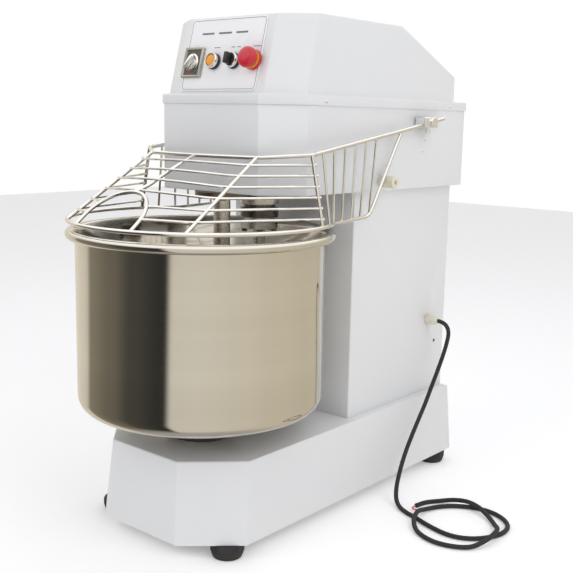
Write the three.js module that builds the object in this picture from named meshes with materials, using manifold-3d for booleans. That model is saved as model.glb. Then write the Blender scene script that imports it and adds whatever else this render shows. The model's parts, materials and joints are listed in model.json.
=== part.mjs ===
// Spiral dough mixer, 50 litre class: a sheet steel body with a turning bowl, a spiral hook driven
// from the head, a fixed breaker bar, a hinged wire guard and a sloping control panel.
// Millimetres, +Z up. Lengths below are taken from the bowl's axis (y = 0, the front is -Y), from the
// machine's middle plane (x = 0) and from the floor (z = 0). One group then moves everything so that
// the origin lies under the middle of the machine's length.
import * as THREE from 'three';
import { mergeVertices } from 'three/addons/utils/BufferGeometryUtils.js';
import Module from 'manifold-3d';

const wasm = await Module();
wasm.setup();

// ---- clearances and sheet ---------------------------------------------------------------------
const GAP = 0.3; // between two pieces that touch
const RUNNING = 0.6; // around a piece that turns or slides
const SHEET = 3; // body panels

// ---- facets around a round piece ---------------------------------------------------------------
const ROUND = 18;
const SMALL_ROUND = 14;
const BOWL_ROUND = 36;
const ROD_SIDES = 6;
const WIRE_SIDES = 4;

// ---- bowl, hook and breaker bar ---------------------------------------------------------------
const BOWL_RADIUS = 241;
const BOWL_WALL = 2;
const BOWL_BOTTOM_Z = 244;
const BOWL_CORNER_RADIUS = 30;
const BOWL_RIM_Z = 586;
const BOWL_RIM_TUBE_RADIUS = 9;
const RIM_OUTER_RADIUS = BOWL_RADIUS + 0.6 + 2 * BOWL_RIM_TUBE_RADIUS;
const BOWL_SEAT_RADIUS = 66;
const BOWL_SEAT_HEIGHT = 24;
const BOWL_SHAFT_RADIUS = 25;
const BOWL_SPROCKET_RADIUS = 132;
const CHAIN_Z = 92;
const CHAIN_WIDTH = 12;
const CHAIN_THICKNESS = 9;
const HOOK_BAR_RADIUS = 12.5;
const HOOK_SWEEP_RADIUS = 56;
const HOOK_TURNS = 1.6;
const HOOK_FLOOR_CLEARANCE = 14;
const HOOK_WALL_CLEARANCE = 6.5;
const HOOK_Y = BOWL_RADIUS - BOWL_WALL - HOOK_WALL_CLEARANCE - HOOK_SWEEP_RADIUS - HOOK_BAR_RADIUS;
const HOOK_DISC_RADIUS = 38;
const SPINDLE_RADIUS = 17;
const SPINDLE_HUB_RADIUS = 39;
const SPINDLE_NOSE_RADIUS = 40.5;
const BAR_Y = 54;
const BAR_RADIUS = 16.5;
const BAR_BOTTOM_Z = 276;
const BAR_FLANGE_RADIUS = 54;
const BAR_FLANGE_HEIGHT = 10;

// ---- column and head --------------------------------------------------------------------------
const BOWL_COLUMN_CLEARANCE = 7.7;
const COLUMN_FRONT = RIM_OUTER_RADIUS + BOWL_COLUMN_CLEARANCE;
const COLUMN_DEPTH = 372.5;
const COLUMN = {
  halfWidth: 166.3,
  front: COLUMN_FRONT,
  rear: COLUMN_FRONT + COLUMN_DEPTH,
  height: 478.8,
};
const REAR_PANEL = { width: 250, height: 330, bottom: 245, thickness: 2 };
const VENT_COUNT = 6;
const VENT_PITCH = 22;
const HEAD = {
  halfWidth: 187.7,
  front: 16.9,
  rear: COLUMN.rear + 10.4,
  chamferX: 61.7,
  chamferY: 69.6,
  height: 185.5,
};
const COVER_SKIRT_HEIGHT = 18.4;
const COVER_SKIRT_OVERHANG = 3;
const COVER_HEIGHT = 147.6;
const COVER_SIDE_STEP = 4.7; // from the head's side in to the hood
const COVER_TAPER = 1.5;
const COVER_REAR_STEP = 40.7;
const COVER_SLOPE_LENGTH = 215.5;
const COVER_LOWER = {
  halfWidth: HEAD.halfWidth - COVER_SIDE_STEP,
  front: HEAD.front + 21.4,
  rear: HEAD.rear - COVER_REAR_STEP,
  chamferX: 64.9,
  chamferY: 44.8,
};
const COVER_UPPER = {
  halfWidth: COVER_LOWER.halfWidth - COVER_TAPER,
  front: COVER_LOWER.front + 38.2,
  rear: COVER_LOWER.rear,
  chamferX: 64.9,
  chamferY: 44.8,
};
const COVER_SLOPE_START_Y = COVER_LOWER.rear - COVER_SLOPE_LENGTH;
const COVER_SLOPE_DROP = 92.8;

// ---- feet and base ----------------------------------------------------------------------------
const FOOT_HEIGHT = 28;
const FOOT_RADIUS = 32.5;
const FOOT_SOLE_RADIUS = 28;
const FOOT_STUD_RADIUS = 6;
const FOOT_STUD_LENGTH = 20;
const BASE_HEIGHT = 156.5;
const BASE_BOTTOM = {
  halfWidth: 197.5,
  front: -166.5,
  rear: COLUMN.rear + 7.7,
  chamferX: 98,
  chamferY: 93,
};
const BASE_TOP = {
  halfWidth: 185,
  front: -152,
  rear: COLUMN.rear + 3.2,
  chamferX: 95,
  chamferY: 94,
};
const BASE_LIP = 30;
const FRAME_BEAM_WIDTH = 46;
const FRAME_BEAM_HEIGHT = 30;
const FRAME_CROSSBAR_Y = COLUMN.front + 32.7;

// ---- heights worked out from the sizes above --------------------------------------------------
const BASE_TOP_Z = FOOT_HEIGHT + BASE_HEIGHT;
const COLUMN_TOP_Z = BASE_TOP_Z + COLUMN.height;
const HEAD_TOP_Z = COLUMN_TOP_Z + HEAD.height;
const COVER_TOP_Z = HEAD_TOP_Z + COVER_HEIGHT;

// ---- drive ------------------------------------------------------------------------------------
const COUNTERSHAFT_Y = COLUMN.front + 102.7;
const COUNTERSHAFT_RADIUS = 15;
const REDUCER_RADIUS = 62;
const REDUCER_HEIGHT = 60;
const REDUCER_SPROCKET_RADIUS = 33;
const MOTOR_Y = COUNTERSHAFT_Y + 170;
const MOTOR_RADIUS = 82;
const MOTOR_LENGTH = 290;
const MOTOR_SHAFT_RADIUS = 14;
const DRIVE_PLATE_THICKNESS = 8;
const PULLEY_WIDTH = 34;
const PULLEY_SPACING = 46;
const MOTOR_PULLEY_RADIUS = 60;
const COUNTER_PULLEY_LARGE_RADIUS = 90;
const COUNTER_PULLEY_SMALL_RADIUS = 45;
const SPINDLE_PULLEY_RADIUS = 90;
const BELT_THICKNESS = 8;

const CONTROL_BOX = { back: 32.7, depth: 88, width: 150, bottom: 330, height: 260 };

// ---- guard ------------------------------------------------------------------------------------
const RING_RADIUS = BOWL_RADIUS + 13;
const RING_Z = BOWL_RIM_Z + 25.5;
const RING_ROD_RADIUS = 4;
const ARM_ROD_RADIUS = 4.5;
const EDGE_ROD_RADIUS = 3.5;
const WIRE_RADIUS = 2.5;
const GUARD_TOP_Z = COLUMN_TOP_Z + 70.7;
const GUARD_FRONT_HALF_WIDTH = HEAD.halfWidth - 47.7;
const GUARD_FRONT_Y = HEAD.front - 18.9;
const GUARD_FRONT_BOW = 18;
const GUARD_CORNER = { x: HEAD.halfWidth + 31.3, y: HEAD.front + 43.1, z: COLUMN_TOP_Z + 77.7 };
const PIVOT = {
  y: HEAD.rear - 180.2,
  z: COLUMN_TOP_Z + 142.7,
  radius: 8,
  halfLength: HEAD.halfWidth + 10.3,
};
const ARM_X = HEAD.halfWidth + 17.3;
const ARM_JUNCTION = { y: PIVOT.y - 101, z: PIVOT.z - 21 };
const ARM_TAIL = { y: PIVOT.y + 60, z: PIVOT.z + 6 };
const SIDE_ROD_LOW = { y: COLUMN.front - 3.3, z: RING_Z + 4.5 };
const SIDE_ROD_BEND = 16;
const RING_END_ANGLE = 32.6;
const EDGE_ROD_ANGLE = 14;
const FRONT_ROD_ANGLE = -51;
const WIRE_COUNT = 6;
const WIRE_FIRST = 0.137;
const WIRE_STEP = 0.149;
const WIRES_STOPPED_BY_ARCH = 2;
const ARCH_HALF_WIDTH = 74;
const WIRE_BOW_SHARE = 0.28; // how far a front wire has come forward by half its width
const ARCH_REACH = 0.363248; // share of the way back from the ring to the top rod
const ARCH_RISE = 0.485714; // share of the way up
const ARCH_APEX = {
  y: (GUARD_FRONT_Y - GUARD_FRONT_BOW + RING_RADIUS) * ARCH_REACH - RING_RADIUS,
  z: RING_Z + (GUARD_TOP_Z - RING_Z) * ARCH_RISE,
};
const DOME_RISE = 8;
const SIDE_WIRE_COUNT = 6;
const SIDE_WIRE_TOP_Y = 94;
const SIDE_WIRE_TOP_STEP = 36;
const SIDE_WIRE_LOW_Y = 98;
const SIDE_WIRE_LOW_STEP = 33;
const CAM_X = 120;
const CAM_WIDTH = 12;
const CAM_RADIUS = 20;
// the blocks swing past the cover's skirt, so they stand clear of it
const GUARD_BLOCK = {
  inner: HEAD.halfWidth + COVER_SKIRT_OVERHANG + RUNNING,
  outer: HEAD.halfWidth + 28.3,
  front: PIVOT.y - 30,
  rear: PIVOT.y + 22,
  bottom: PIVOT.z - 14,
  top: PIVOT.z + 8,
};
const CLAMP_SCREW_RADIUS = 5;
const CLAMP_SCREW_HEIGHT = 11;
const BUMPER_RADIUS = 13;
const BUMPER_LENGTH = 37;
const BUMPER_Z = COLUMN_TOP_Z + 18.7;

// ---- control panel, measured on the sloping face: x across, w up the slope, h out of it -------
const LABEL = { middle: -2, halfWidth: 100, bottom: 5.5, top: 149.5, thickness: 1.7, corner: 7 };
const CONTROL_ROW_W = 62.5;
const TIMER = { x: -76.7, w: 61, width: 50, height: 60, depth: 6, recess: 2, rim: 5, stem: 4.5 };
const BUTTON_X = -20.5;
const SELECTOR_X = 31.5;
const ESTOP_X = 83.5;
const STEM_HOLE_RADIUS = 11.3;
const CONTROL_THREAD_RADIUS = 11;
const CONTROL_THREAD_BORE = 8;
const CONTROL_THREAD_LENGTH = 22;
const COLLAR_RADIUS = 15.5;
const COLLAR_HEIGHT = 6;
const BEZEL_RADIUS = 14.75;
const BEZEL_BORE = 12;
const BEZEL_HEIGHT = 7;
const ESTOP_HEAD_RADIUS = 20;
const ESTOP_TRAVEL = 4;

// ---- cord and gland ---------------------------------------------------------------------------
const GLAND = { y: COLUMN.rear - 76.2, z: 355, nut: 12.5, dome: 11, length: 30, thread: 10 };
const CORD_RADIUS = 4.75;
const CORD_SIDES = 8;
const CONDUCTOR_RADIUS = 1.6;

// ---- values worked out from the sizes above ---------------------------------------------------
const REAR_REACH = HEAD.rear + COVER_SKIRT_OVERHANG;
const LENGTH_MIDDLE_Y = (REAR_REACH - RIM_OUTER_RADIUS) / 2;

// ---- the groups -------------------------------------------------------------------------------
const mixer = new THREE.Group();
const machine = new THREE.Group();
machine.position.y = -LENGTH_MIDDLE_Y;
mixer.add(machine);

// The control panel's own frame: +Y runs up the slope and +Z out of it.
const panelRun = COVER_UPPER.front - COVER_LOWER.front;
const panel = new THREE.Group();
panel.position.set(0, COVER_LOWER.front, HEAD_TOP_Z);
panel.rotation.x = Math.atan2(COVER_HEIGHT, panelRun);
machine.add(panel);
panel.updateMatrix();

// ---- finishes ---------------------------------------------------------------------------------
function finish(color, roughness, metalness) {
  return () => new THREE.MeshStandardMaterial({ color, roughness, metalness });
}
const paint = finish(0xe9ebee, 0.45, 0.1);
const stainless = finish(0xc9c6c0, 0.28, 1);
const brightSteel = finish(0xd8d8d8, 0.15, 1);
const castIron = finish(0x4a4b4d, 0.6, 0.8);
const darkSteel = finish(0x5b544c, 0.4, 0.9);
const rubber = finish(0x151515, 0.85, 0);
const creamPlastic = finish(0xf1ead2, 0.5, 0);
const blackPlastic = finish(0x16171a, 0.4, 0);
const redPlastic = finish(0xc8102e, 0.35, 0);
const orangePlastic = finish(0xf39b1d, 0.35, 0);
const labelPlastic = finish(0xf4f5f6, 0.35, 0);
const cordRubber = finish(0x1b1b1c, 0.6, 0);
const pinkInsulation = finish(0xd9626c, 0.5, 0);

function part(name, geometry, makeMaterial, parent = machine) {
  const mesh = new THREE.Mesh(geometry, makeMaterial());
  mesh.name = name;
  parent.add(mesh);
  return mesh;
}

// ---- solids -----------------------------------------------------------------------------------
function solid(geometry) {
  const bare = geometry.clone();
  bare.deleteAttribute('normal');
  bare.deleteAttribute('uv');
  const merged = mergeVertices(bare, 1e-4);
  return new wasm.Manifold(new wasm.Mesh({
    numProp: 3,
    vertProperties: merged.attributes.position.array,
    triVerts: new Uint32Array(merged.index.array),
  }));
}

function geometryOf(body) {
  const mesh = body.getMesh();
  const geometry = new THREE.BufferGeometry();
  geometry.setAttribute('position', new THREE.Float32BufferAttribute(mesh.vertProperties, 3));
  geometry.setIndex(Array.from(mesh.triVerts));
  const faceted = geometry.toNonIndexed();
  faceted.computeVertexNormals();
  return faceted;
}

function join(...geometries) {
  return geometryOf(geometries.map(solid).reduce((sum, body) => sum.add(body)));
}

function cut(geometry, ...tools) {
  return geometryOf(tools.map(solid).reduce((rest, tool) => rest.subtract(tool), solid(geometry)));
}

// A straight prism over an outline of [x, y] corners, from z0 up to z1.
function prism(outline, z0, z1, holes = []) {
  const shape = new THREE.Shape(outline.map(([x, y]) => new THREE.Vector2(x, y)));
  for (const hole of holes) {
    shape.holes.push(new THREE.Path(hole.map(([x, y]) => new THREE.Vector2(x, y))));
  }
  const geometry = new THREE.ExtrudeGeometry(shape, { depth: z1 - z0, bevelEnabled: false });
  return geometry.translate(0, 0, z0);
}

// A prism whose convex outline changes evenly from the lower one to the upper one.
function loft(lower, upper, z0, z1) {
  const count = lower.length;
  const positions = [...lower.map(([x, y]) => [x, y, z0]), ...upper.map(([x, y]) => [x, y, z1])];
  const index = [];
  for (let i = 0; i < count; i += 1) {
    const next = (i + 1) % count;
    index.push(i, next, count + next, i, count + next, count + i);
  }
  for (let i = 1; i < count - 1; i += 1) {
    index.push(0, i + 1, i, count, count + i, count + i + 1);
  }
  const geometry = new THREE.BufferGeometry();
  geometry.setAttribute('position', new THREE.Float32BufferAttribute(positions.flat(), 3));
  geometry.setIndex(index);
  return geometry;
}

// A solid of revolution about Z from [radius, z] pairs that run up its outer side.
function turned(profile, segments = ROUND) {
  const points = profile.map(([radius, z]) => new THREE.Vector2(radius, z));
  return new THREE.LatheGeometry(points, segments).rotateX(Math.PI / 2);
}

function disc(radius, z0, z1, segments = ROUND) {
  return turned([[0, z0], [radius, z0], [radius, z1], [0, z1]], segments);
}

function ring(outer, inner, z0, z1, segments = ROUND) {
  return turned([[inner, z0], [outer, z0], [outer, z1], [inner, z1], [inner, z0]], segments);
}

// A disc whose axis runs along X, from x0 to x1.
function crossPin(radius, x0, x1, y, z, segments = SMALL_ROUND) {
  return disc(radius, x0, x1, segments).rotateY(Math.PI / 2).translate(0, y, z);
}

function box(x0, x1, y0, y1, z0, z1) {
  const geometry = new THREE.BoxGeometry(x1 - x0, y1 - y0, z1 - z0);
  return geometry.translate((x0 + x1) / 2, (y0 + y1) / 2, (z0 + z1) / 2);
}

function mirrored(geometry) {
  const copy = geometry.index ? geometry.toNonIndexed() : geometry.clone();
  copy.applyMatrix4(new THREE.Matrix4().makeScale(-1, 1, 1));
  const position = copy.attributes.position;
  for (let i = 0; i < position.count; i += 3) {
    const second = [position.getX(i + 1), position.getY(i + 1), position.getZ(i + 1)];
    position.setXYZ(i + 1, position.getX(i + 2), position.getY(i + 2), position.getZ(i + 2));
    position.setXYZ(i + 2, ...second);
  }
  copy.computeVertexNormals();
  return copy;
}

// ---- rods: a path with one knot for each section of the tube -----------------------------------
class RodPath extends THREE.Curve {
  constructor(knots) {
    super();
    this.knots = knots.map((knot) => new THREE.Vector3(...knot));
  }

  getPoint(u) {
    const place = Math.min(Math.max(u, 0), 1) * (this.knots.length - 1);
    const start = Math.min(Math.floor(place), this.knots.length - 2);
    return this.knots[start].clone().lerp(this.knots[start + 1], place - start);
  }

  getPointAt(u) {
    return this.getPoint(u);
  }

  getTangent(u) {
    const index = Math.round(u * (this.knots.length - 1));
    const before = this.knots[Math.max(index - 1, 0)];
    const here = this.knots[index];
    const after = this.knots[Math.min(index + 1, this.knots.length - 1)];
    const arriving = here.clone().sub(before).normalize();
    const leaving = after.clone().sub(here).normalize();
    return arriving.add(leaving).normalize();
  }

  getTangentAt(u) {
    return this.getTangent(u);
  }
}

function rod(knots, radius, sides = ROD_SIDES) {
  const outline = [];
  for (let i = 0; i < sides; i += 1) {
    const angle = (2 * Math.PI * i) / sides;
    outline.push(new THREE.Vector2(radius * Math.cos(angle), radius * Math.sin(angle)));
  }
  return new THREE.ExtrudeGeometry(new THREE.Shape(outline), {
    steps: knots.length - 1,
    extrudePath: new RodPath(knots),
    bevelEnabled: false,
  });
}

function mix(from, to, share) {
  return from.map((value, axis) => value + (to[axis] - value) * share);
}

// Knots of a smooth route through hand-picked points.
function smoothKnots(points, count) {
  const curve = new THREE.CatmullRomCurve3(points.map((point) => new THREE.Vector3(...point)));
  return curve.getSpacedPoints(count).map((point) => point.toArray());
}

// A corner rounded over `reach` mm of both its legs.
function roundedCorner(before, corner, after, reach, count = 4) {
  const start = new THREE.Vector3(...corner);
  const end = start.clone();
  start.lerp(new THREE.Vector3(...before), reach / start.distanceTo(new THREE.Vector3(...before)));
  end.lerp(new THREE.Vector3(...after), reach / end.distanceTo(new THREE.Vector3(...after)));
  const bend = new THREE.QuadraticBezierCurve3(start, new THREE.Vector3(...corner), end);
  return bend.getPoints(count).map((point) => point.toArray());
}

// ---- body outlines ----------------------------------------------------------------------------
function chamferedPlan({ halfWidth, front, rear, chamferX, chamferY }) {
  return [
    [-halfWidth + chamferX, front],
    [halfWidth - chamferX, front],
    [halfWidth, front + chamferY],
    [halfWidth, rear],
    [-halfWidth, rear],
    [-halfWidth, front + chamferY],
  ];
}

// The convex outline moved inwards by `distance` on every side.
function inset(outline, distance) {
  const count = outline.length;
  const sides = outline.map(([x, y], i) => {
    const [nextX, nextY] = outline[(i + 1) % count];
    const length = Math.hypot(nextX - x, nextY - y);
    const normal = [-(nextY - y) / length, (nextX - x) / length];
    return { normal, offset: normal[0] * x + normal[1] * y + distance };
  });
  return sides.map((side, i) => {
    const previous = sides[(i + count - 1) % count];
    const [a, b] = previous.normal;
    const [c, d] = side.normal;
    const determinant = a * d - b * c;
    return [
      (previous.offset * d - b * side.offset) / determinant,
      (a * side.offset - previous.offset * c) / determinant,
    ];
  });
}

function planBetween(lower, upper, share) {
  return chamferedPlan(Object.fromEntries(
    Object.keys(lower).map((key) => [key, lower[key] + (upper[key] - lower[key]) * share]),
  ));
}

const basePlanAt = (z) => planBetween(BASE_BOTTOM, BASE_TOP, (z - FOOT_HEIGHT) / BASE_HEIGHT);
const coverPlanAt = (z) => planBetween(COVER_LOWER, COVER_UPPER, (z - HEAD_TOP_Z) / COVER_HEIGHT);

// ---- base -------------------------------------------------------------------------------------
const footPlaces = {
  front_right: [155, -84],
  front_left: [-155, -84],
  rear_right: [165, COLUMN.rear - 27.8],
  rear_left: [-165, COLUMN.rear - 27.8],
};
const footHoles = Object.values(footPlaces).map(([x, y]) => (
  disc(FOOT_STUD_RADIUS + GAP, FOOT_HEIGHT - 1, FOOT_HEIGHT + FOOT_STUD_LENGTH + 2, 12).translate(x, y, 0)
));

function baseShell() {
  const roofZ = BASE_TOP_Z - SHEET;
  const lipZ = FOOT_HEIGHT + SHEET;
  const outer = loft(basePlanAt(FOOT_HEIGHT), basePlanAt(BASE_TOP_Z), FOOT_HEIGHT, BASE_TOP_Z);
  const inner = loft(inset(basePlanAt(lipZ), SHEET), inset(basePlanAt(roofZ), SHEET), lipZ, roofZ);
  const opening = prism(inset(basePlanAt(FOOT_HEIGHT), SHEET + BASE_LIP), FOOT_HEIGHT - 1, lipZ + 1);
  const bowlHole = disc(BOWL_SHAFT_RADIUS + 27 + GAP, roofZ - 1, BASE_TOP_Z + 1);
  const shaftHole = disc(COUNTERSHAFT_RADIUS + 7, roofZ - 1, BASE_TOP_Z + 1)
    .translate(0, COUNTERSHAFT_Y, 0);
  return cut(outer, inner, opening, bowlHole, shaftHole, ...footHoles);
}

function baseFrame() {
  const z0 = FOOT_HEIGHT + SHEET + GAP;
  const z1 = z0 + FRAME_BEAM_HEIGHT;
  const play = SHEET + 2 * GAP;
  const beams = loft(inset(basePlanAt(z0), play), inset(basePlanAt(z1), play), z0, z1);
  const inside = inset(basePlanAt(z0), play + FRAME_BEAM_WIDTH);
  const reach = inside[2][0];
  const rear = inside[3][1];
  const half = FRAME_BEAM_WIDTH / 2;
  const frontWindow = [
    inside[0], inside[1], inside[2],
    [reach, FRAME_CROSSBAR_Y - half], [-reach, FRAME_CROSSBAR_Y - half], inside[5],
  ];
  const rearWindow = box(-reach, reach, FRAME_CROSSBAR_Y + half, rear, z0 - 1, z1 + 1);
  return cut(beams, prism(frontWindow, z0 - 1, z1 + 1), rearWindow, ...footHoles);
}

function foot([x, y]) {
  const top = FOOT_HEIGHT - GAP;
  const studTop = FOOT_HEIGHT + FOOT_STUD_LENGTH;
  return turned([
    [0, 0], [FOOT_SOLE_RADIUS, 0], [FOOT_RADIUS, top / 2], [FOOT_RADIUS, top],
    [FOOT_STUD_RADIUS, top], [FOOT_STUD_RADIUS, studTop], [0, studTop],
  ], SMALL_ROUND).translate(x, y, 0);
}

part('base_shell', baseShell(), paint);
part('base_frame', baseFrame(), castIron);
for (const [place, at] of Object.entries(footPlaces)) {
  part(`foot_${place}`, foot(at), rubber);
}

// ---- column -----------------------------------------------------------------------------------
function rectangle(x0, x1, y0, y1) {
  return [[x0, y0], [x1, y0], [x1, y1], [x0, y1]];
}

const columnOutline = rectangle(-COLUMN.halfWidth, COLUMN.halfWidth, COLUMN.front, COLUMN.rear);

function columnShell() {
  const z0 = BASE_TOP_Z + GAP;
  const z1 = COLUMN_TOP_Z - GAP;
  const tube = prism(columnOutline, z0, z1, [inset(columnOutline, SHEET)]);
  const margin = 16;
  const access = box(
    -REAR_PANEL.width / 2 + margin, REAR_PANEL.width / 2 - margin,
    COLUMN.rear - SHEET - 1, COLUMN.rear + 1,
    REAR_PANEL.bottom + margin, REAR_PANEL.bottom + REAR_PANEL.height - margin,
  );
  const glandHole = crossPin(
    GLAND.thread + GAP, COLUMN.halfWidth - SHEET - 1, COLUMN.halfWidth + 1, GLAND.y, GLAND.z,
  );
  return cut(tube, access, glandHole);
}

function rearPanel() {
  const y0 = COLUMN.rear + GAP;
  const half = REAR_PANEL.width / 2;
  const top = REAR_PANEL.bottom + REAR_PANEL.height;
  const plate = box(-half, half, y0, y0 + REAR_PANEL.thickness, REAR_PANEL.bottom, top);
  const vents = Array.from({ length: VENT_COUNT }, (_, i) => {
    const z = top - 50 - i * VENT_PITCH;
    return box(-half / 2, half / 2, y0 - 1, y0 + REAR_PANEL.thickness + 1, z - 4, z);
  });
  return cut(plate, ...vents);
}

part('column_shell', columnShell(), paint);
part('rear_panel', rearPanel(), paint);

// ---- head -------------------------------------------------------------------------------------
const headPlan = chamferedPlan(HEAD);
const HEAD_SHELL_TOP_Z = HEAD_TOP_Z - SHEET - GAP;
const NOSE_TUBE_RADIUS = 45;

function headShell() {
  const floorZ = COLUMN_TOP_Z + SHEET;
  const outer = prism(headPlan, COLUMN_TOP_Z, HEAD_SHELL_TOP_Z);
  const inner = prism(inset(headPlan, SHEET), floorZ, HEAD_SHELL_TOP_Z + 1);
  const columnOpening = prism(inset(columnOutline, SHEET + 12), COLUMN_TOP_Z - 1, floorZ + 1);
  const spindleHole = disc(NOSE_TUBE_RADIUS + GAP, COLUMN_TOP_Z - 1, floorZ + 1).translate(0, HOOK_Y, 0);
  const reach = HEAD.halfWidth + 1;
  const pivotHoles = crossPin(PIVOT.radius + RUNNING, -reach, reach, PIVOT.y, PIVOT.z);
  return cut(outer, inner, columnOpening, spindleHole, pivotHoles);
}

// The wedge above the cover's rear slope, lowered by `drop` for the hollow inside.
function aboveRearSlope(drop) {
  const slope = COVER_SLOPE_DROP / (COVER_LOWER.rear - COVER_SLOPE_START_Y);
  const y1 = COVER_LOWER.rear + 40;
  const z0 = COVER_TOP_Z - drop;
  const side = [
    [COVER_SLOPE_START_Y, z0],
    [y1, z0 - slope * (y1 - COVER_SLOPE_START_Y)],
    [y1, COVER_TOP_Z + 40],
    [COVER_SLOPE_START_Y, COVER_TOP_Z + 40],
  ];
  const reach = COVER_LOWER.halfWidth + 20;
  // The profile's [y, z] becomes the machine's Y and Z, and its depth runs along X.
  const geometry = prism(side, -reach, reach);
  return geometry.rotateX(Math.PI / 2).rotateZ(Math.PI / 2);
}

function onPanel(geometry) {
  return geometry.clone().applyMatrix4(panel.matrix);
}

function panelHole(x, w, radius) {
  return disc(radius, -12, 12).translate(x, w, 0);
}

const controlHoles = [BUTTON_X, SELECTOR_X, ESTOP_X].map((x) => (
  panelHole(x, CONTROL_ROW_W, STEM_HOLE_RADIUS)
));
const timerHole = panelHole(TIMER.x, TIMER.w, STEM_HOLE_RADIUS);

function topCover() {
  const skirtZ = HEAD_TOP_Z - COVER_SKIRT_HEIGHT;
  const ceilingZ = HEAD_TOP_Z - SHEET;
  const hoodCeilingZ = COVER_TOP_Z - SHEET;
  const skirt = prism(inset(headPlan, -COVER_SKIRT_OVERHANG), skirtZ, HEAD_TOP_Z);
  const hood = loft(coverPlanAt(ceilingZ), coverPlanAt(COVER_TOP_Z), ceilingZ, COVER_TOP_Z);
  const outer = join(skirt, cut(hood, aboveRearSlope(0)));
  const skirtInside = prism(inset(headPlan, -GAP), skirtZ - 1, ceilingZ);
  const hoodInside = cut(
    loft(
      inset(coverPlanAt(ceilingZ - 1), SHEET), inset(coverPlanAt(hoodCeilingZ), SHEET),
      ceilingZ - 1, hoodCeilingZ,
    ),
    aboveRearSlope(SHEET),
  );
  return cut(outer, skirtInside, hoodInside, ...[...controlHoles, timerHole].map(onPanel));
}

part('head_shell', headShell(), paint);
part('top_cover', topCover(), paint);

// ---- bowl -------------------------------------------------------------------------------------
function arc(centre, radius, fromDegrees, toDegrees, count) {
  return Array.from({ length: count + 1 }, (_, i) => {
    const angle = THREE.MathUtils.degToRad(fromDegrees + ((toDegrees - fromDegrees) * i) / count);
    return [centre[0] + radius * Math.cos(angle), centre[1] + radius * Math.sin(angle)];
  });
}

// The wall's upper edge is curled outwards and down into an open roll.
function bowlProfile() {
  const cornerCentre = [BOWL_RADIUS - BOWL_CORNER_RADIUS, BOWL_BOTTOM_Z + BOWL_CORNER_RADIUS];
  const curlCentre = [RIM_OUTER_RADIUS - BOWL_RIM_TUBE_RADIUS, BOWL_RIM_Z];
  const innerWall = BOWL_RADIUS - BOWL_WALL;
  return [
    [0, BOWL_BOTTOM_Z],
    ...arc(cornerCentre, BOWL_CORNER_RADIUS, -90, 0, 3),
    [BOWL_RADIUS, BOWL_RIM_Z - 2],
    ...arc(curlCentre, BOWL_RIM_TUBE_RADIUS - BOWL_WALL, 170, -120, 5),
    ...arc(curlCentre, BOWL_RIM_TUBE_RADIUS, -120, 160, 7),
    [innerWall, BOWL_RIM_Z - 2],
    ...arc(cornerCentre, BOWL_CORNER_RADIUS - BOWL_WALL, 0, -90, 3),
    [0, BOWL_BOTTOM_Z + BOWL_WALL],
  ];
}

const SEAT_TOP_Z = BASE_TOP_Z + GAP + BOWL_SEAT_HEIGHT;
const SHAFT_FLANGE_Z = SEAT_TOP_Z + RUNNING;
const HOUSING_BOTTOM_Z = CHAIN_Z + CHAIN_WIDTH + 16;
const BOWL_BORE = BOWL_SHAFT_RADIUS + RUNNING;

function bowlHousing() {
  const tubeRadius = BOWL_SHAFT_RADIUS + 27;
  return turned([
    [BOWL_BORE, HOUSING_BOTTOM_Z], [tubeRadius, HOUSING_BOTTOM_Z], [tubeRadius, BASE_TOP_Z + GAP],
    [BOWL_SEAT_RADIUS, BASE_TOP_Z + GAP], [BOWL_SEAT_RADIUS, SEAT_TOP_Z - 4],
    [BOWL_SEAT_RADIUS - 4, SEAT_TOP_Z],
    [BOWL_BORE, SEAT_TOP_Z], [BOWL_BORE, HOUSING_BOTTOM_Z],
  ]);
}

function bowlShaft() {
  const flangeRadius = BOWL_SEAT_RADIUS - 6;
  const top = BOWL_BOTTOM_Z - GAP;
  return turned([
    [0, CHAIN_Z - 6], [BOWL_SHAFT_RADIUS, CHAIN_Z - 6], [BOWL_SHAFT_RADIUS, SHAFT_FLANGE_Z],
    [flangeRadius, SHAFT_FLANGE_Z], [flangeRadius, top], [0, top],
  ]);
}

function sprocket(radius, bore) {
  const z1 = CHAIN_Z + CHAIN_WIDTH;
  const hub = bore + 14;
  return turned([
    [bore, CHAIN_Z], [radius, CHAIN_Z], [radius, z1], [hub, z1],
    [hub, z1 + 8], [bore, z1 + 8], [bore, CHAIN_Z],
  ], 28);
}

part('bowl_housing', bowlHousing(), castIron);
part('bowl', turned(bowlProfile(), BOWL_ROUND), stainless);
part('bowl_shaft', bowlShaft(), darkSteel);
part('bowl_sprocket', sprocket(BOWL_SPROCKET_RADIUS, BOWL_SHAFT_RADIUS + GAP), darkSteel);

// ---- breaker bar ------------------------------------------------------------------------------
const barFlangeTop = COLUMN_TOP_Z - GAP;
part(
  'breaker_bar',
  turned([
    [0, BAR_BOTTOM_Z], [BAR_RADIUS - 4, BAR_BOTTOM_Z], [BAR_RADIUS, BAR_BOTTOM_Z + 4],
    [BAR_RADIUS, barFlangeTop], [0, barFlangeTop],
  ]).translate(0, BAR_Y, 0),
  stainless,
);
part(
  'breaker_bar_flange',
  ring(BAR_FLANGE_RADIUS, BAR_RADIUS + GAP, barFlangeTop - BAR_FLANGE_HEIGHT, barFlangeTop)
    .translate(0, BAR_Y, 0),
  darkSteel,
);

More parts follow.
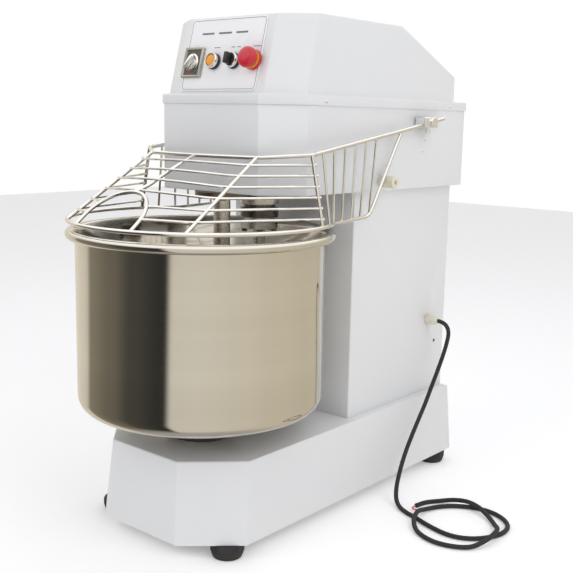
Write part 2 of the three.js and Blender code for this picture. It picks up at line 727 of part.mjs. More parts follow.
// ---- spindle and hook -------------------------------------------------------------------------
const NOSE_BOTTOM_Z = COLUMN_TOP_Z - 30.3;
const HUB_TOP_Z = NOSE_BOTTOM_Z - 8;
const HUB_BOTTOM_Z = HUB_TOP_Z - 19;
const HOOK_DISC_TOP_Z = HUB_BOTTOM_Z - 8;
const HOOK_DISC_BOTTOM_Z = HOOK_DISC_TOP_Z - 17;
const SPINDLE_TOP_Z = COLUMN_TOP_Z + 136;
const UPPER_PULLEY_Z = COLUMN_TOP_Z + 89;
const LOWER_PULLEY_Z = UPPER_PULLEY_Z - PULLEY_SPACING;
const SPINDLE_HOUSING_TOP_Z = COLUMN_TOP_Z + 80;

function spindleHousing() {
  const bore = SPINDLE_RADIUS + RUNNING;
  const flangeZ = COLUMN_TOP_Z + SHEET + GAP;
  const flangeRadius = NOSE_TUBE_RADIUS + 25;
  return turned([
    [bore, NOSE_BOTTOM_Z], [SPINDLE_NOSE_RADIUS, NOSE_BOTTOM_Z], [SPINDLE_NOSE_RADIUS, NOSE_BOTTOM_Z + 13],
    [SPINDLE_NOSE_RADIUS - 4, NOSE_BOTTOM_Z + 15], [SPINDLE_NOSE_RADIUS - 4, COLUMN_TOP_Z - GAP],
    [NOSE_TUBE_RADIUS, COLUMN_TOP_Z - GAP], [NOSE_TUBE_RADIUS, flangeZ], [flangeRadius, flangeZ],
    [flangeRadius, flangeZ + 10], [NOSE_TUBE_RADIUS, flangeZ + 14],
    [NOSE_TUBE_RADIUS, SPINDLE_HOUSING_TOP_Z],
    [bore, SPINDLE_HOUSING_TOP_Z], [bore, NOSE_BOTTOM_Z],
  ]).translate(0, HOOK_Y, 0);
}

function spindle() {
  return turned([
    [0, HUB_BOTTOM_Z], [SPINDLE_HUB_RADIUS, HUB_BOTTOM_Z], [SPINDLE_HUB_RADIUS, HUB_TOP_Z],
    [SPINDLE_HUB_RADIUS - 6, HUB_TOP_Z], [SPINDLE_HUB_RADIUS - 6, NOSE_BOTTOM_Z - RUNNING],
    [SPINDLE_RADIUS, NOSE_BOTTOM_Z - RUNNING], [SPINDLE_RADIUS, SPINDLE_TOP_Z], [0, SPINDLE_TOP_Z],
  ]).translate(0, HOOK_Y, 0);
}

// The bar drops from the disc's middle, swings out to its sweep radius and winds down in a spiral.
function hookBarKnots() {
  const top = HOOK_DISC_BOTTOM_Z + 2;
  const bottom = BOWL_BOTTOM_Z + BOWL_WALL + HOOK_FLOOR_CLEARANCE + HOOK_BAR_RADIUS;
  const straight = 0.16;
  const steps = 36;
  return Array.from({ length: steps + 1 }, (_, i) => {
    const share = i / steps;
    const wound = Math.max(0, (share - straight) / (1 - straight));
    const grown = Math.min(1, wound / 0.4);
    const closing = Math.max(0, (wound - 0.86) / 0.14);
    const radius = HOOK_SWEEP_RADIUS * (grown * grown * (3 - 2 * grown)) * (1 - 0.3 * closing * closing);
    const angle = 2 * Math.PI * HOOK_TURNS * wound;
    const fall = wound + 0.06 * Math.sin(Math.PI * wound);
    const z = wound > 0
      ? top - (top - bottom) * (straight + (1 - straight) * fall)
      : top - (top - bottom) * share;
    return [radius * Math.cos(angle), HOOK_Y + radius * Math.sin(angle), z];
  });
}

function hook() {
  const neck = HOOK_DISC_RADIUS - 8;
  const mount = turned([
    [0, HOOK_DISC_BOTTOM_Z], [HOOK_DISC_RADIUS, HOOK_DISC_BOTTOM_Z], [HOOK_DISC_RADIUS, HOOK_DISC_TOP_Z],
    [neck, HOOK_DISC_TOP_Z], [neck, HUB_BOTTOM_Z - GAP], [0, HUB_BOTTOM_Z - GAP],
  ]);
  const slots = [0, 1, 2, 3].map((i) => (
    box(-6, 6, HOOK_DISC_RADIUS - 11, HOOK_DISC_RADIUS + 2, HOOK_DISC_BOTTOM_Z - 1, HOOK_DISC_BOTTOM_Z + 11)
      .rotateZ(((i + 0.5) * Math.PI) / 2)
  ));
  return join(cut(mount, ...slots).translate(0, HOOK_Y, 0), rod(hookBarKnots(), HOOK_BAR_RADIUS, 8));
}

part('spindle_housing', spindleHousing(), stainless);
part('spindle', spindle(), darkSteel);
part('hook', hook(), stainless);

// ---- belts, pulleys, motor --------------------------------------------------------------------
// The loop that hugs two wheels on the middle plane, at y1 and y2. Its facets touch the round
// line from outside, so that they never cut into the wheels.
function loopOutline(y1, radius1, y2, radius2, offset) {
  const lean = THREE.MathUtils.radToDeg(Math.acos((radius1 - radius2) / (y2 - y1)));
  const around = (y, radius, from, to, count) => {
    const swell = 1 / Math.cos(THREE.MathUtils.degToRad((to - from) / count / 2));
    return arc([0, y], (radius + offset) * swell, from, to, count);
  };
  return [
    ...around(y1, radius1, 90 + lean, 450 - lean, 14),
    ...around(y2, radius2, 90 - lean, 90 + lean, 9),
  ];
}

function loop(y1, radius1, y2, radius2, thickness, z0, z1) {
  return prism(
    loopOutline(y1, radius1, y2, radius2, RUNNING + thickness), z0, z1,
    [loopOutline(y1, radius1, y2, radius2, RUNNING)],
  );
}

function pulleyRim(radius, z0) {
  const flange = 4;
  const groove = 10;
  const z1 = z0 + PULLEY_WIDTH;
  const middle = (z0 + z1) / 2;
  return [
    [radius, z0], [radius, z0 + flange], [radius - groove, middle], [radius, z1 - flange], [radius, z1],
  ];
}

function pulley(radius, bore, z0) {
  return turned([[bore, z0], ...pulleyRim(radius, z0), [bore, z0 + PULLEY_WIDTH], [bore, z0]]);
}

part(
  'spindle_pulley',
  pulley(SPINDLE_PULLEY_RADIUS, SPINDLE_RADIUS + GAP, UPPER_PULLEY_Z).translate(0, HOOK_Y, 0),
  castIron,
);
part(
  'belt_spindle',
  loop(
    HOOK_Y, SPINDLE_PULLEY_RADIUS, COUNTERSHAFT_Y, COUNTER_PULLEY_SMALL_RADIUS, BELT_THICKNESS,
    UPPER_PULLEY_Z + 3, UPPER_PULLEY_Z + PULLEY_WIDTH - 3,
  ),
  rubber,
);
part(
  'belt_motor',
  loop(
    COUNTERSHAFT_Y, COUNTER_PULLEY_LARGE_RADIUS, MOTOR_Y, MOTOR_PULLEY_RADIUS, BELT_THICKNESS,
    LOWER_PULLEY_Z + 3, LOWER_PULLEY_Z + PULLEY_WIDTH - 3,
  ),
  rubber,
);

const DRIVE_PLATE_TOP_Z = COLUMN_TOP_Z - 6;
const DRIVE_PLATE_Z = DRIVE_PLATE_TOP_Z - DRIVE_PLATE_THICKNESS;
const REDUCER_TOP_Z = BASE_TOP_Z - SHEET - GAP;
const REDUCER_BOTTOM_Z = REDUCER_TOP_Z - REDUCER_HEIGHT;
const COUNTERSHAFT_BOTTOM_Z = REDUCER_TOP_Z - 22;

function counterPulleys() {
  const bore = COUNTERSHAFT_RADIUS + GAP;
  return turned([
    [bore, LOWER_PULLEY_Z],
    ...pulleyRim(COUNTER_PULLEY_LARGE_RADIUS, LOWER_PULLEY_Z),
    [bore + 12, LOWER_PULLEY_Z + PULLEY_WIDTH], [bore + 12, UPPER_PULLEY_Z],
    ...pulleyRim(COUNTER_PULLEY_SMALL_RADIUS, UPPER_PULLEY_Z),
    [bore, UPPER_PULLEY_Z + PULLEY_WIDTH], [bore, LOWER_PULLEY_Z],
  ]).translate(0, COUNTERSHAFT_Y, 0);
}

function drivePlate() {
  const outline = inset(columnOutline, SHEET + GAP);
  const plate = prism(outline, DRIVE_PLATE_Z, DRIVE_PLATE_TOP_Z);
  const counterHole = disc(COUNTERSHAFT_RADIUS + 4, DRIVE_PLATE_Z - 1, DRIVE_PLATE_TOP_Z + 1)
    .translate(0, COUNTERSHAFT_Y, 0);
  const motorHole = disc(MOTOR_SHAFT_RADIUS + 6, DRIVE_PLATE_Z - 1, DRIVE_PLATE_TOP_Z + 1)
    .translate(0, MOTOR_Y, 0);
  return cut(plate, counterHole, motorHole);
}

function motor() {
  const top = DRIVE_PLATE_Z - GAP;
  const bottom = top - MOTOR_LENGTH;
  const bore = MOTOR_SHAFT_RADIUS + RUNNING;
  const boreFloor = top - 40;
  const fins = 3;
  const finPitch = (MOTOR_LENGTH - 110) / fins;
  const finProfile = Array.from({ length: fins }, (_, i) => {
    const z = bottom + 60 + i * finPitch;
    return [[MOTOR_RADIUS - 8, z], [MOTOR_RADIUS, z], [MOTOR_RADIUS, z + 6], [MOTOR_RADIUS - 8, z + 6]];
  }).flat();
  return turned([
    [0, bottom], [MOTOR_RADIUS - 4, bottom], [MOTOR_RADIUS - 4, bottom + 45],
    [MOTOR_RADIUS - 8, bottom + 45],
    ...finProfile, [MOTOR_RADIUS - 8, top - 14], [MOTOR_RADIUS, top - 14], [MOTOR_RADIUS, top],
    [bore, top], [bore, boreFloor], [0, boreFloor],
  ], SMALL_ROUND).translate(0, MOTOR_Y, 0);
}

function motorPulley() {
  const shaftBottom = DRIVE_PLATE_Z - GAP - 38;
  const shaftTop = LOWER_PULLEY_Z + PULLEY_WIDTH + 6;
  return turned([
    [0, shaftBottom], [MOTOR_SHAFT_RADIUS, shaftBottom], [MOTOR_SHAFT_RADIUS, LOWER_PULLEY_Z],
    ...pulleyRim(MOTOR_PULLEY_RADIUS, LOWER_PULLEY_Z),
    [MOTOR_SHAFT_RADIUS, LOWER_PULLEY_Z + PULLEY_WIDTH], [MOTOR_SHAFT_RADIUS, shaftTop], [0, shaftTop],
  ]).translate(0, MOTOR_Y, 0);
}

function counterBearing() {
  const bore = COUNTERSHAFT_RADIUS + RUNNING;
  const z0 = DRIVE_PLATE_TOP_Z + GAP;
  return turned([
    [bore, z0], [48, z0], [48, z0 + 9], [32, z0 + 14], [32, z0 + 30], [bore, z0 + 30], [bore, z0],
  ]).translate(0, COUNTERSHAFT_Y, 0);
}

function bowlReducer() {
  const inputBore = COUNTERSHAFT_RADIUS + RUNNING;
  const outputBore = 12 + RUNNING;
  const wallFloor = COUNTERSHAFT_BOTTOM_Z - 2;
  const wallRoof = REDUCER_BOTTOM_Z + 14;
  return turned([
    [0, wallRoof], [outputBore, wallRoof], [outputBore, REDUCER_BOTTOM_Z],
    [REDUCER_RADIUS - 6, REDUCER_BOTTOM_Z],
    [REDUCER_RADIUS, REDUCER_BOTTOM_Z + 6], [REDUCER_RADIUS, REDUCER_TOP_Z - 10],
    [REDUCER_RADIUS + 12, REDUCER_TOP_Z - 10], [REDUCER_RADIUS + 12, REDUCER_TOP_Z],
    [inputBore, REDUCER_TOP_Z], [inputBore, wallFloor], [0, wallFloor],
  ]).translate(0, COUNTERSHAFT_Y, 0);
}

function reducerSprocket() {
  const z1 = CHAIN_Z + CHAIN_WIDTH;
  return turned([
    [0, CHAIN_Z], [REDUCER_SPROCKET_RADIUS, CHAIN_Z], [REDUCER_SPROCKET_RADIUS, z1], [12, z1],
    [12, REDUCER_BOTTOM_Z + 12], [0, REDUCER_BOTTOM_Z + 12],
  ]).translate(0, COUNTERSHAFT_Y, 0);
}

part('drive_plate', drivePlate(), castIron);
part('motor', motor(), castIron);
part('motor_pulley', motorPulley(), castIron);
part(
  'countershaft',
  disc(COUNTERSHAFT_RADIUS, COUNTERSHAFT_BOTTOM_Z, UPPER_PULLEY_Z + PULLEY_WIDTH + 10)
    .translate(0, COUNTERSHAFT_Y, 0),
  darkSteel,
);
part('counter_pulleys', counterPulleys(), castIron);
part('counter_bearing', counterBearing(), castIron);
part('bowl_reducer', bowlReducer(), castIron);
part('reducer_sprocket', reducerSprocket(), darkSteel);
part(
  'bowl_chain',
  loop(
    0, BOWL_SPROCKET_RADIUS, COUNTERSHAFT_Y, REDUCER_SPROCKET_RADIUS, CHAIN_THICKNESS,
    CHAIN_Z + 1, CHAIN_Z + CHAIN_WIDTH - 1,
  ),
  darkSteel,
);
const controlBoxFront = COLUMN.front + CONTROL_BOX.back;
part(
  'control_box',
  box(
    -COLUMN.halfWidth + SHEET + GAP, -COLUMN.halfWidth + SHEET + GAP + CONTROL_BOX.depth,
    controlBoxFront, controlBoxFront + CONTROL_BOX.width,
    CONTROL_BOX.bottom, CONTROL_BOX.bottom + CONTROL_BOX.height,
  ),
  creamPlastic,
);

// ---- guard ------------------------------------------------------------------------------------
function onRing(degrees) {
  const angle = THREE.MathUtils.degToRad(degrees);
  return [RING_RADIUS * Math.cos(angle), RING_RADIUS * Math.sin(angle), RING_Z];
}

function flip([x, y, z]) {
  return [-x, y, z];
}

const guardCorner = [GUARD_CORNER.x, GUARD_CORNER.y, GUARD_CORNER.z];
const frontRodTop = [GUARD_FRONT_HALF_WIDTH, GUARD_FRONT_Y, GUARD_TOP_Z];
const frontRodLow = onRing(FRONT_ROD_ANGLE);
const edgeRodLow = onRing(EDGE_ROD_ANGLE);
const armJunction = [ARM_X, ARM_JUNCTION.y, ARM_JUNCTION.z];
const armTail = [ARM_X, ARM_TAIL.y, ARM_TAIL.z];
const sideRodLow = [ARM_X, SIDE_ROD_LOW.y, SIDE_ROD_LOW.z];
const ringEnd = onRing(RING_END_ANGLE);
const CORNER_TURN = 10;

function along(from, to, distance) {
  const length = Math.hypot(...from.map((value, axis) => to[axis] - value));
  return mix(from, to, distance / length);
}

const armStart = along(guardCorner, armJunction, CORNER_TURN + GAP);
const armKnots = [armStart, armJunction, armTail];

// A place on the grille's middle line, from the top rod (0) down to the ring (1).
function middleLine(share) {
  const top = [0, GUARD_FRONT_Y - GUARD_FRONT_BOW, GUARD_TOP_Z];
  const [x, y, z] = mix(top, onRing(-90), share);
  return [x, y, z + DOME_RISE * Math.sin(Math.PI * share)];
}

function raised([x, y, z], height) {
  return [x, y - height * 0.45, z + height * 0.9];
}

// One half of a grille wire, from the middle line (or the arch) round to the edge rod.
function wireHalf(share, height) {
  const edge = mix(guardCorner, edgeRodLow, share);
  const front = raised(mix(frontRodTop, frontRodLow, share), height);
  const middle = raised(middleLine(share), height);
  const bow = mix(middle, front, WIRE_BOW_SHARE);
  bow[0] = front[0] / 2;
  return { edge, front, bow, middle };
}

const archFoot = [ARCH_HALF_WIDTH, -Math.sqrt(RING_RADIUS ** 2 - ARCH_HALF_WIDTH ** 2), RING_Z];

// The feed arch stands on the ring: two short legs and a half circle in a sloping plane.
function archKnots() {
  const rise = [0, ARCH_APEX.y - archFoot[1], ARCH_APEX.z - archFoot[2]];
  const height = Math.hypot(...rise);
  const leg = height - ARCH_HALF_WIDTH;
  const place = (x, up) => (
    [x, archFoot[1] + (rise[1] * up) / height, archFoot[2] + (rise[2] * up) / height]
  );
  const roof = arc([0, leg], ARCH_HALF_WIDTH, 0, 180, 8).map(([x, up]) => place(x, up));
  return [place(ARCH_HALF_WIDTH, 0), ...roof, place(-ARCH_HALF_WIDTH, 0)];
}

function guardFront() {
  const overlap = 0.75;
  const height = (WIRE_RADIUS + EDGE_ROD_RADIUS) * overlap;
  const halfTopRod = [
    along(guardCorner, armJunction, CORNER_TURN),
    ...roundedCorner(along(guardCorner, armJunction, CORNER_TURN), guardCorner, frontRodTop, 8, 2),
    ...roundedCorner(guardCorner, frontRodTop, middleLine(0), 12, 2),
    [GUARD_FRONT_HALF_WIDTH / 2, GUARD_FRONT_Y - GUARD_FRONT_BOW * 0.78, GUARD_TOP_Z],
  ];
  const topRod = [...halfTopRod, middleLine(0), ...halfTopRod.map(flip).reverse()];
  const rods = [
    rod(topRod, RING_ROD_RADIUS),
    rod([frontRodTop, frontRodLow], EDGE_ROD_RADIUS),
    rod([flip(frontRodTop), flip(frontRodLow)], EDGE_ROD_RADIUS),
    rod([guardCorner, edgeRodLow], EDGE_ROD_RADIUS),
    rod([flip(guardCorner), flip(edgeRodLow)], EDGE_ROD_RADIUS),
    rod([0, 0.16, 0.32, 0.48].map(middleLine).concat([[0, ARCH_APEX.y, ARCH_APEX.z]]), EDGE_ROD_RADIUS),
    rod(archKnots(), EDGE_ROD_RADIUS),
  ];
  const ringSteps = 28;
  const ringKnots = Array.from({ length: ringSteps + 1 }, (_, i) => (
    onRing(EDGE_ROD_ANGLE + 2 - ((184 + 2 * EDGE_ROD_ANGLE) * i) / ringSteps)
  ));
  rods.push(rod(ringKnots, RING_ROD_RADIUS));
  for (let i = 0; i < WIRE_COUNT; i += 1) {
    const { edge, front, bow, middle } = wireHalf(WIRE_FIRST + WIRE_STEP * i, height);
    if (i < WIRE_COUNT - WIRES_STOPPED_BY_ARCH) {
      const knots = [edge, front, bow, middle, flip(bow), flip(front), flip(edge)];
      rods.push(rod(knots, WIRE_RADIUS, WIRE_SIDES));
    } else {
      const share = (ARCH_HALF_WIDTH - 1) / front[0];
      const stop = archStop(middle, front, share);
      rods.push(rod([edge, front, stop], WIRE_RADIUS, WIRE_SIDES));
      rods.push(rod([edge, front, stop].map(flip), WIRE_RADIUS, WIRE_SIDES));
    }
  }
  return join(...rods);
}

// Where a wire on its way to the middle meets the arch's leg, at the leg's own height.
function archStop(middle, front, share) {
  const z = middle[2] + (front[2] - middle[2]) * share;
  const climb = (z - archFoot[2]) / (ARCH_APEX.z - archFoot[2]);
  const y = archFoot[1] + (ARCH_APEX.y - archFoot[1]) * climb;
  return [legHalfWidth(climb), y, z];
}

function legHalfWidth(climb) {
  const height = Math.hypot(ARCH_APEX.y - archFoot[1], ARCH_APEX.z - archFoot[2]);
  const above = Math.max(0, climb * height - (height - ARCH_HALF_WIDTH));
  return Math.sqrt(ARCH_HALF_WIDTH ** 2 - above ** 2);
}

// The side rod comes down from the arm, turns forwards and runs into the end of the ring.
function lowerSideKnots() {
  const bend = roundedCorner(armJunction, sideRodLow, ringEnd, SIDE_ROD_BEND);
  const ringPart = [0.35, 0.7].map((share) => (
    onRing(RING_END_ANGLE + (EDGE_ROD_ANGLE + 3.2 - RING_END_ANGLE) * share)
  ));
  return [armJunction, ...bend, ringEnd, ...ringPart, onRing(EDGE_ROD_ANGLE + 2.6)];
}

function lowerRailAt(y) {
  if (y > ringEnd[1]) {
    return mix(ringEnd, sideRodLow, (y - ringEnd[1]) / (sideRodLow[1] - ringEnd[1]));
  }
  return [Math.sqrt(RING_RADIUS ** 2 - y ** 2), y, RING_Z];
}

function guardSide() {
  const rods = [rod(lowerSideKnots(), RING_ROD_RADIUS)];
  for (let i = 0; i < SIDE_WIRE_COUNT; i += 1) {
    const topY = SIDE_WIRE_TOP_Y + SIDE_WIRE_TOP_STEP * i;
    const top = mix(guardCorner, armJunction, (topY - guardCorner[1]) / (armJunction[1] - guardCorner[1]));
    const low = lowerRailAt(SIDE_WIRE_LOW_Y + SIDE_WIRE_LOW_STEP * i);
    rods.push(rod([top, low], WIRE_RADIUS, WIRE_SIDES));
  }
  const armSpace = rod([guardCorner, armJunction, armTail], ARM_ROD_RADIUS + GAP);
  return cut(join(...rods), armSpace);
}

function guardBlock() {
  const { inner, outer, front, rear, bottom, top } = GUARD_BLOCK;
  const body = box(inner, outer, front, rear, bottom, top);
  const armHole = rod(armKnots, ARM_ROD_RADIUS + GAP);
  const shaftHole = crossPin(PIVOT.radius + GAP, inner - 1, PIVOT.halfLength + GAP, PIVOT.y, PIVOT.z);
  return cut(body, armHole, shaftHole);
}

function pivotShaft() {
  const shaft = crossPin(PIVOT.radius, -PIVOT.halfLength, PIVOT.halfLength, PIVOT.y, PIVOT.z);
  const cam = crossPin(CAM_RADIUS, CAM_X, CAM_X + CAM_WIDTH, PIVOT.y, PIVOT.z, ROUND);
  const notch = box(
    CAM_X - 1, CAM_X + CAM_WIDTH + 1, PIVOT.y - 6, PIVOT.y + 6,
    PIVOT.z - CAM_RADIUS - 1, PIVOT.z - CAM_RADIUS + 6,
  );
  return join(shaft, cut(cam, notch));
}

function clampScrew() {
  const z1 = GUARD_BLOCK.bottom - GAP;
  return disc(CLAMP_SCREW_RADIUS, z1 - CLAMP_SCREW_HEIGHT, z1, 6).translate(ARM_X, PIVOT.y, 0);
}

// The rod that slopes down from the arm rests against the bumper when the guard is closed.
function bumper() {
  const run = ARM_JUNCTION.y - SIDE_ROD_LOW.y;
  const fall = ARM_JUNCTION.z - SIDE_ROD_LOW.z;
  const rodY = SIDE_ROD_LOW.y + (run * (BUMPER_Z - SIDE_ROD_LOW.z)) / fall;
  const reach = (RING_ROD_RADIUS + BUMPER_RADIUS + GAP) * (Math.hypot(run, fall) / fall);
  const x0 = HEAD.halfWidth + GAP;
  const x1 = x0 + BUMPER_LENGTH;
  return turned([
    [0, x0], [BUMPER_RADIUS, x0], [BUMPER_RADIUS, x1 - 2], [BUMPER_RADIUS - 2, x1],
    [5, x1], [5, x1 - 6], [0, x1 - 6],
  ], SMALL_ROUND).rotateY(Math.PI / 2).translate(0, rodY + reach, BUMPER_Z);
}

part('guard_front', guardFront(), stainless);
for (const [side, place] of [['right', (g) => g], ['left', mirrored]]) {
  part(`guard_side_${side}`, place(guardSide()), stainless);
  part(`guard_arm_${side}`, place(rod(armKnots, ARM_ROD_RADIUS)), stainless);
  part(`guard_block_${side}`, place(guardBlock()), brightSteel);
  part(`guard_clamp_screw_${side}`, place(clampScrew()), darkSteel);
  part(`bumper_${side}`, place(bumper()), creamPlastic);
}
part('guard_pivot_shaft', pivotShaft(), brightSteel);
part(
  'guard_switch',
  box(
    CAM_X - 9, CAM_X + CAM_WIDTH + 9, PIVOT.y - 14, PIVOT.y + 14,
    PIVOT.z - CAM_RADIUS - 2 - 48, PIVOT.z - CAM_RADIUS - 2,
  ),
  blackPlastic,
);

// ---- control panel ----------------------------------------------------------------------------
const labelTop = GAP + LABEL.thickness;
const collarZ = labelTop + GAP;

function roundedRectangle(x0, x1, y0, y1, radius) {
  return [
    ...arc([x1 - radius, y0 + radius], radius, -90, 0, 2),
    ...arc([x1 - radius, y1 - radius], radius, 0, 90, 2),
    ...arc([x0 + radius, y1 - radius], radius, 90, 180, 2),
    ...arc([x0 + radius, y0 + radius], radius, 180, 270, 2),
  ];
}

function labelPlate() {
  const { middle, halfWidth, bottom, top, corner } = LABEL;
  const outline = roundedRectangle(middle - halfWidth, middle + halfWidth, bottom, top, corner);
  return cut(prism(outline, GAP, labelTop), ...controlHoles, timerHole);
}

function timerPlate() {
  const { x, w, width, height, depth, recess, rim } = TIMER;
  const top = collarZ + depth;
  const frame = box(-width / 2, width / 2, -height / 2, height / 2, collarZ, top);
  const face = box(
    -width / 2 + rim, width / 2 - rim, -height / 2 + rim, height / 2 - rim, top - recess, top + 1,
  );
  const thread = disc(CONTROL_THREAD_RADIUS, -CONTROL_THREAD_LENGTH, collarZ + 1);
  const bore = disc(TIMER.stem + RUNNING, -CONTROL_THREAD_LENGTH - 1, top + 1, SMALL_ROUND);
  return cut(join(frame, thread), face, bore).translate(x, w, 0);
}

function timerKnob() {
  const z0 = collarZ + TIMER.depth - TIMER.recess + RUNNING;
  const dial = turned([[0, z0], [17, z0], [17, z0 + 2], [14, z0 + 4], [0, z0 + 4]]);
  const grip = prism(roundedRectangle(-15, 15, -4.5, 4.5, 3.5), z0 + 3, z0 + 14).rotateZ(0.9);
  const stem = disc(TIMER.stem, -CONTROL_THREAD_LENGTH + 6, z0 + 1, SMALL_ROUND);
  return join(dial, grip, stem).translate(TIMER.x, TIMER.w, 0);
}

function threadedCollar(x) {
  return turned([
    [CONTROL_THREAD_BORE, -CONTROL_THREAD_LENGTH], [CONTROL_THREAD_RADIUS, -CONTROL_THREAD_LENGTH],
    [CONTROL_THREAD_RADIUS, collarZ], [COLLAR_RADIUS, collarZ], [COLLAR_RADIUS, collarZ + COLLAR_HEIGHT],
    [CONTROL_THREAD_BORE, collarZ + COLLAR_HEIGHT], [CONTROL_THREAD_BORE, -CONTROL_THREAD_LENGTH],
  ], SMALL_ROUND).translate(x, CONTROL_ROW_W, 0);
}

const bezelZ = collarZ + COLLAR_HEIGHT + GAP;
const bezelTop = bezelZ + BEZEL_HEIGHT;
const ACTUATOR_STEM_RADIUS = CONTROL_THREAD_BORE - RUNNING;
const ACTUATOR_RADIUS = BEZEL_BORE - RUNNING;
const BUTTON_TRAVEL = 3;

function bezel(x) {
  return turned([
    [BEZEL_BORE, bezelZ], [BEZEL_RADIUS, bezelZ], [BEZEL_RADIUS, bezelTop - 2],
    [BEZEL_RADIUS - 1.5, bezelTop],
    [BEZEL_BORE, bezelTop], [BEZEL_BORE, bezelZ],
  ]).translate(x, CONTROL_ROW_W, 0);
}

function pushButton() {
  const z0 = bezelZ + BUTTON_TRAVEL + RUNNING;
  const stemBottom = -CONTROL_THREAD_LENGTH + BUTTON_TRAVEL;
  return turned([
    [0, stemBottom], [ACTUATOR_STEM_RADIUS, stemBottom], [ACTUATOR_STEM_RADIUS, z0], [ACTUATOR_RADIUS, z0],
    [ACTUATOR_RADIUS, bezelTop - 1], [ACTUATOR_RADIUS - 1, bezelTop], [0, bezelTop],
  ], SMALL_ROUND).translate(BUTTON_X, CONTROL_ROW_W, 0);
}

function selectorKnob() {
  const z0 = bezelZ + RUNNING;
  const stem = disc(ACTUATOR_STEM_RADIUS, -CONTROL_THREAD_LENGTH + 3, z0 + 1, SMALL_ROUND);
  const base = disc(ACTUATOR_RADIUS, z0, bezelTop + 1);
  const grip = prism(roundedRectangle(-4.5, 4.5, -11, 11, 2), bezelTop, bezelTop + 13);
  return join(stem, base, grip).translate(SELECTOR_X, CONTROL_ROW_W, 0);
}

const estopCollarTop = collarZ + 10;
const estopHeadZ = estopCollarTop + ESTOP_TRAVEL + 1;

function estopCollar() {
  const outer = ESTOP_HEAD_RADIUS - 1;
  const step = estopCollarTop - 3;
  return turned([
    [CONTROL_THREAD_BORE, -CONTROL_THREAD_LENGTH], [CONTROL_THREAD_RADIUS, -CONTROL_THREAD_LENGTH],
    [CONTROL_THREAD_RADIUS, collarZ], [outer - 2, collarZ], [outer, collarZ + 2], [outer, step],
    [outer - 2, step], [outer - 2, estopCollarTop], [CONTROL_THREAD_BORE, estopCollarTop],
    [CONTROL_THREAD_BORE, -CONTROL_THREAD_LENGTH],
  ]).translate(ESTOP_X, CONTROL_ROW_W, 0);
}

function estopHead() {
  const r = ESTOP_HEAD_RADIUS;
  return turned([
    [0, estopHeadZ], [r - 2, estopHeadZ], [r, estopHeadZ + 2], [r, estopHeadZ + 9],
    [r - 3, estopHeadZ + 14],
    [r - 9, estopHeadZ + 16], [0, estopHeadZ + 16.5],
  ]).translate(ESTOP_X, CONTROL_ROW_W, 0);
}

part('label_plate', labelPlate(), labelPlastic, panel);
part('timer_plate', timerPlate(), castIron, panel);
part('timer_knob', timerKnob(), brightSteel, panel);
part('button_collar', threadedCollar(BUTTON_X), blackPlastic, panel);
part('button_bezel', bezel(BUTTON_X), brightSteel, panel);
part('push_button', pushButton(), orangePlastic, panel);
part('selector_collar', threadedCollar(SELECTOR_X), blackPlastic, panel);
part('selector_bezel', bezel(SELECTOR_X), brightSteel, panel);
part('selector_knob', selectorKnob(), blackPlastic, panel);
part('estop_collar', estopCollar(), redPlastic, panel);
part(
  'estop_stem',
  disc(ACTUATOR_STEM_RADIUS, -CONTROL_THREAD_LENGTH + ESTOP_TRAVEL, estopHeadZ - GAP, SMALL_ROUND)
    .translate(ESTOP_X, CONTROL_ROW_W, 0),
  blackPlastic,
  panel,
);
part('estop_mushroom', estopHead(), redPlastic, panel);

// ---- gland and cord ---------------------------------------------------------------------------
function gland() {
  const wall = COLUMN.halfWidth;
  const nutEnd = wall + GAP + 9;
  const end = wall + GAP + GLAND.length;
  const thread = crossPin(GLAND.thread, wall - 14, nutEnd, GLAND.y, GLAND.z);
  const nut = crossPin(GLAND.nut, wall + GAP, nutEnd, GLAND.y, GLAND.z, 6);
  const dome = turned([
    [0, nutEnd - 1], [GLAND.dome, nutEnd - 1], [GLAND.dome, end - 8], [GLAND.dome - 4, end], [0, end],
  ], SMALL_ROUND).rotateY(Math.PI / 2).translate(0, GLAND.y, GLAND.z);
  return join(thread, nut, dome);
}

// The cord droops from the gland, meets the floor and lies there in two loose loops.
const cordStart = [COLUMN.halfWidth + GLAND.length + 2 * GAP, GLAND.y, GLAND.z];
const cordRoute = [
  [202.5, 563.5, 354.6],
  [214, 562.6, 351.6],
  [224, 560.5, 344],
  [229.5, 557, 332],
  [230, 551, 312],
  [226.5, 543, 283],
  [222, 531, 250],
  [217.5, 515, 214],
  [216, 493, 178],
  [219, 462, 147],
  [224.5, 427, 117],
  [231, 394, 88],
  [239, 363, 56],
  [248, 340, 31],
  [260, 323, 14.5],
  [277, 310, 7],
  [300, 299, 5.2],
  [330, 289, 5.2],
  [372, 274, 5.2],
  [417, 265, 5.2],
  [448, 271, 5.2],
  [473, 290, 5.2],
  [491, 320, 5.2],
  [497, 350, 5.2],
  [490, 381, 5.2],
  [470, 404, 5.2],
  [442, 418, 5.2],
  [410, 420, 5.2],
  [380, 410, 5.2],
  [353, 391, 5.2],
  [334, 366, 5.2],
  [324, 333, 7.5],
  [326.5, 307, 13.5],
  [332, 287, 15.4],
  [343, 262, 11.5],
  [368, 236, 6],
  [412, 219.5, 5.2],
  [453, 226, 5.2],
  [482, 247, 6],
  [495, 277, 12],
  [497, 306, 15.4],
  [491, 334, 15.4],
  [470, 363, 8.5],
  [441, 391, 8],
  [410, 406, 14.5],
  [380, 413, 15.6],
  [348, 411, 11],
  [320, 395, 5.4],
  [303, 369, 5.2],
  [297.5, 342, 5.2],
];
const CORD_STEPS = 78;
const cordKnots = smoothKnots([cordStart, ...cordRoute], CORD_STEPS);
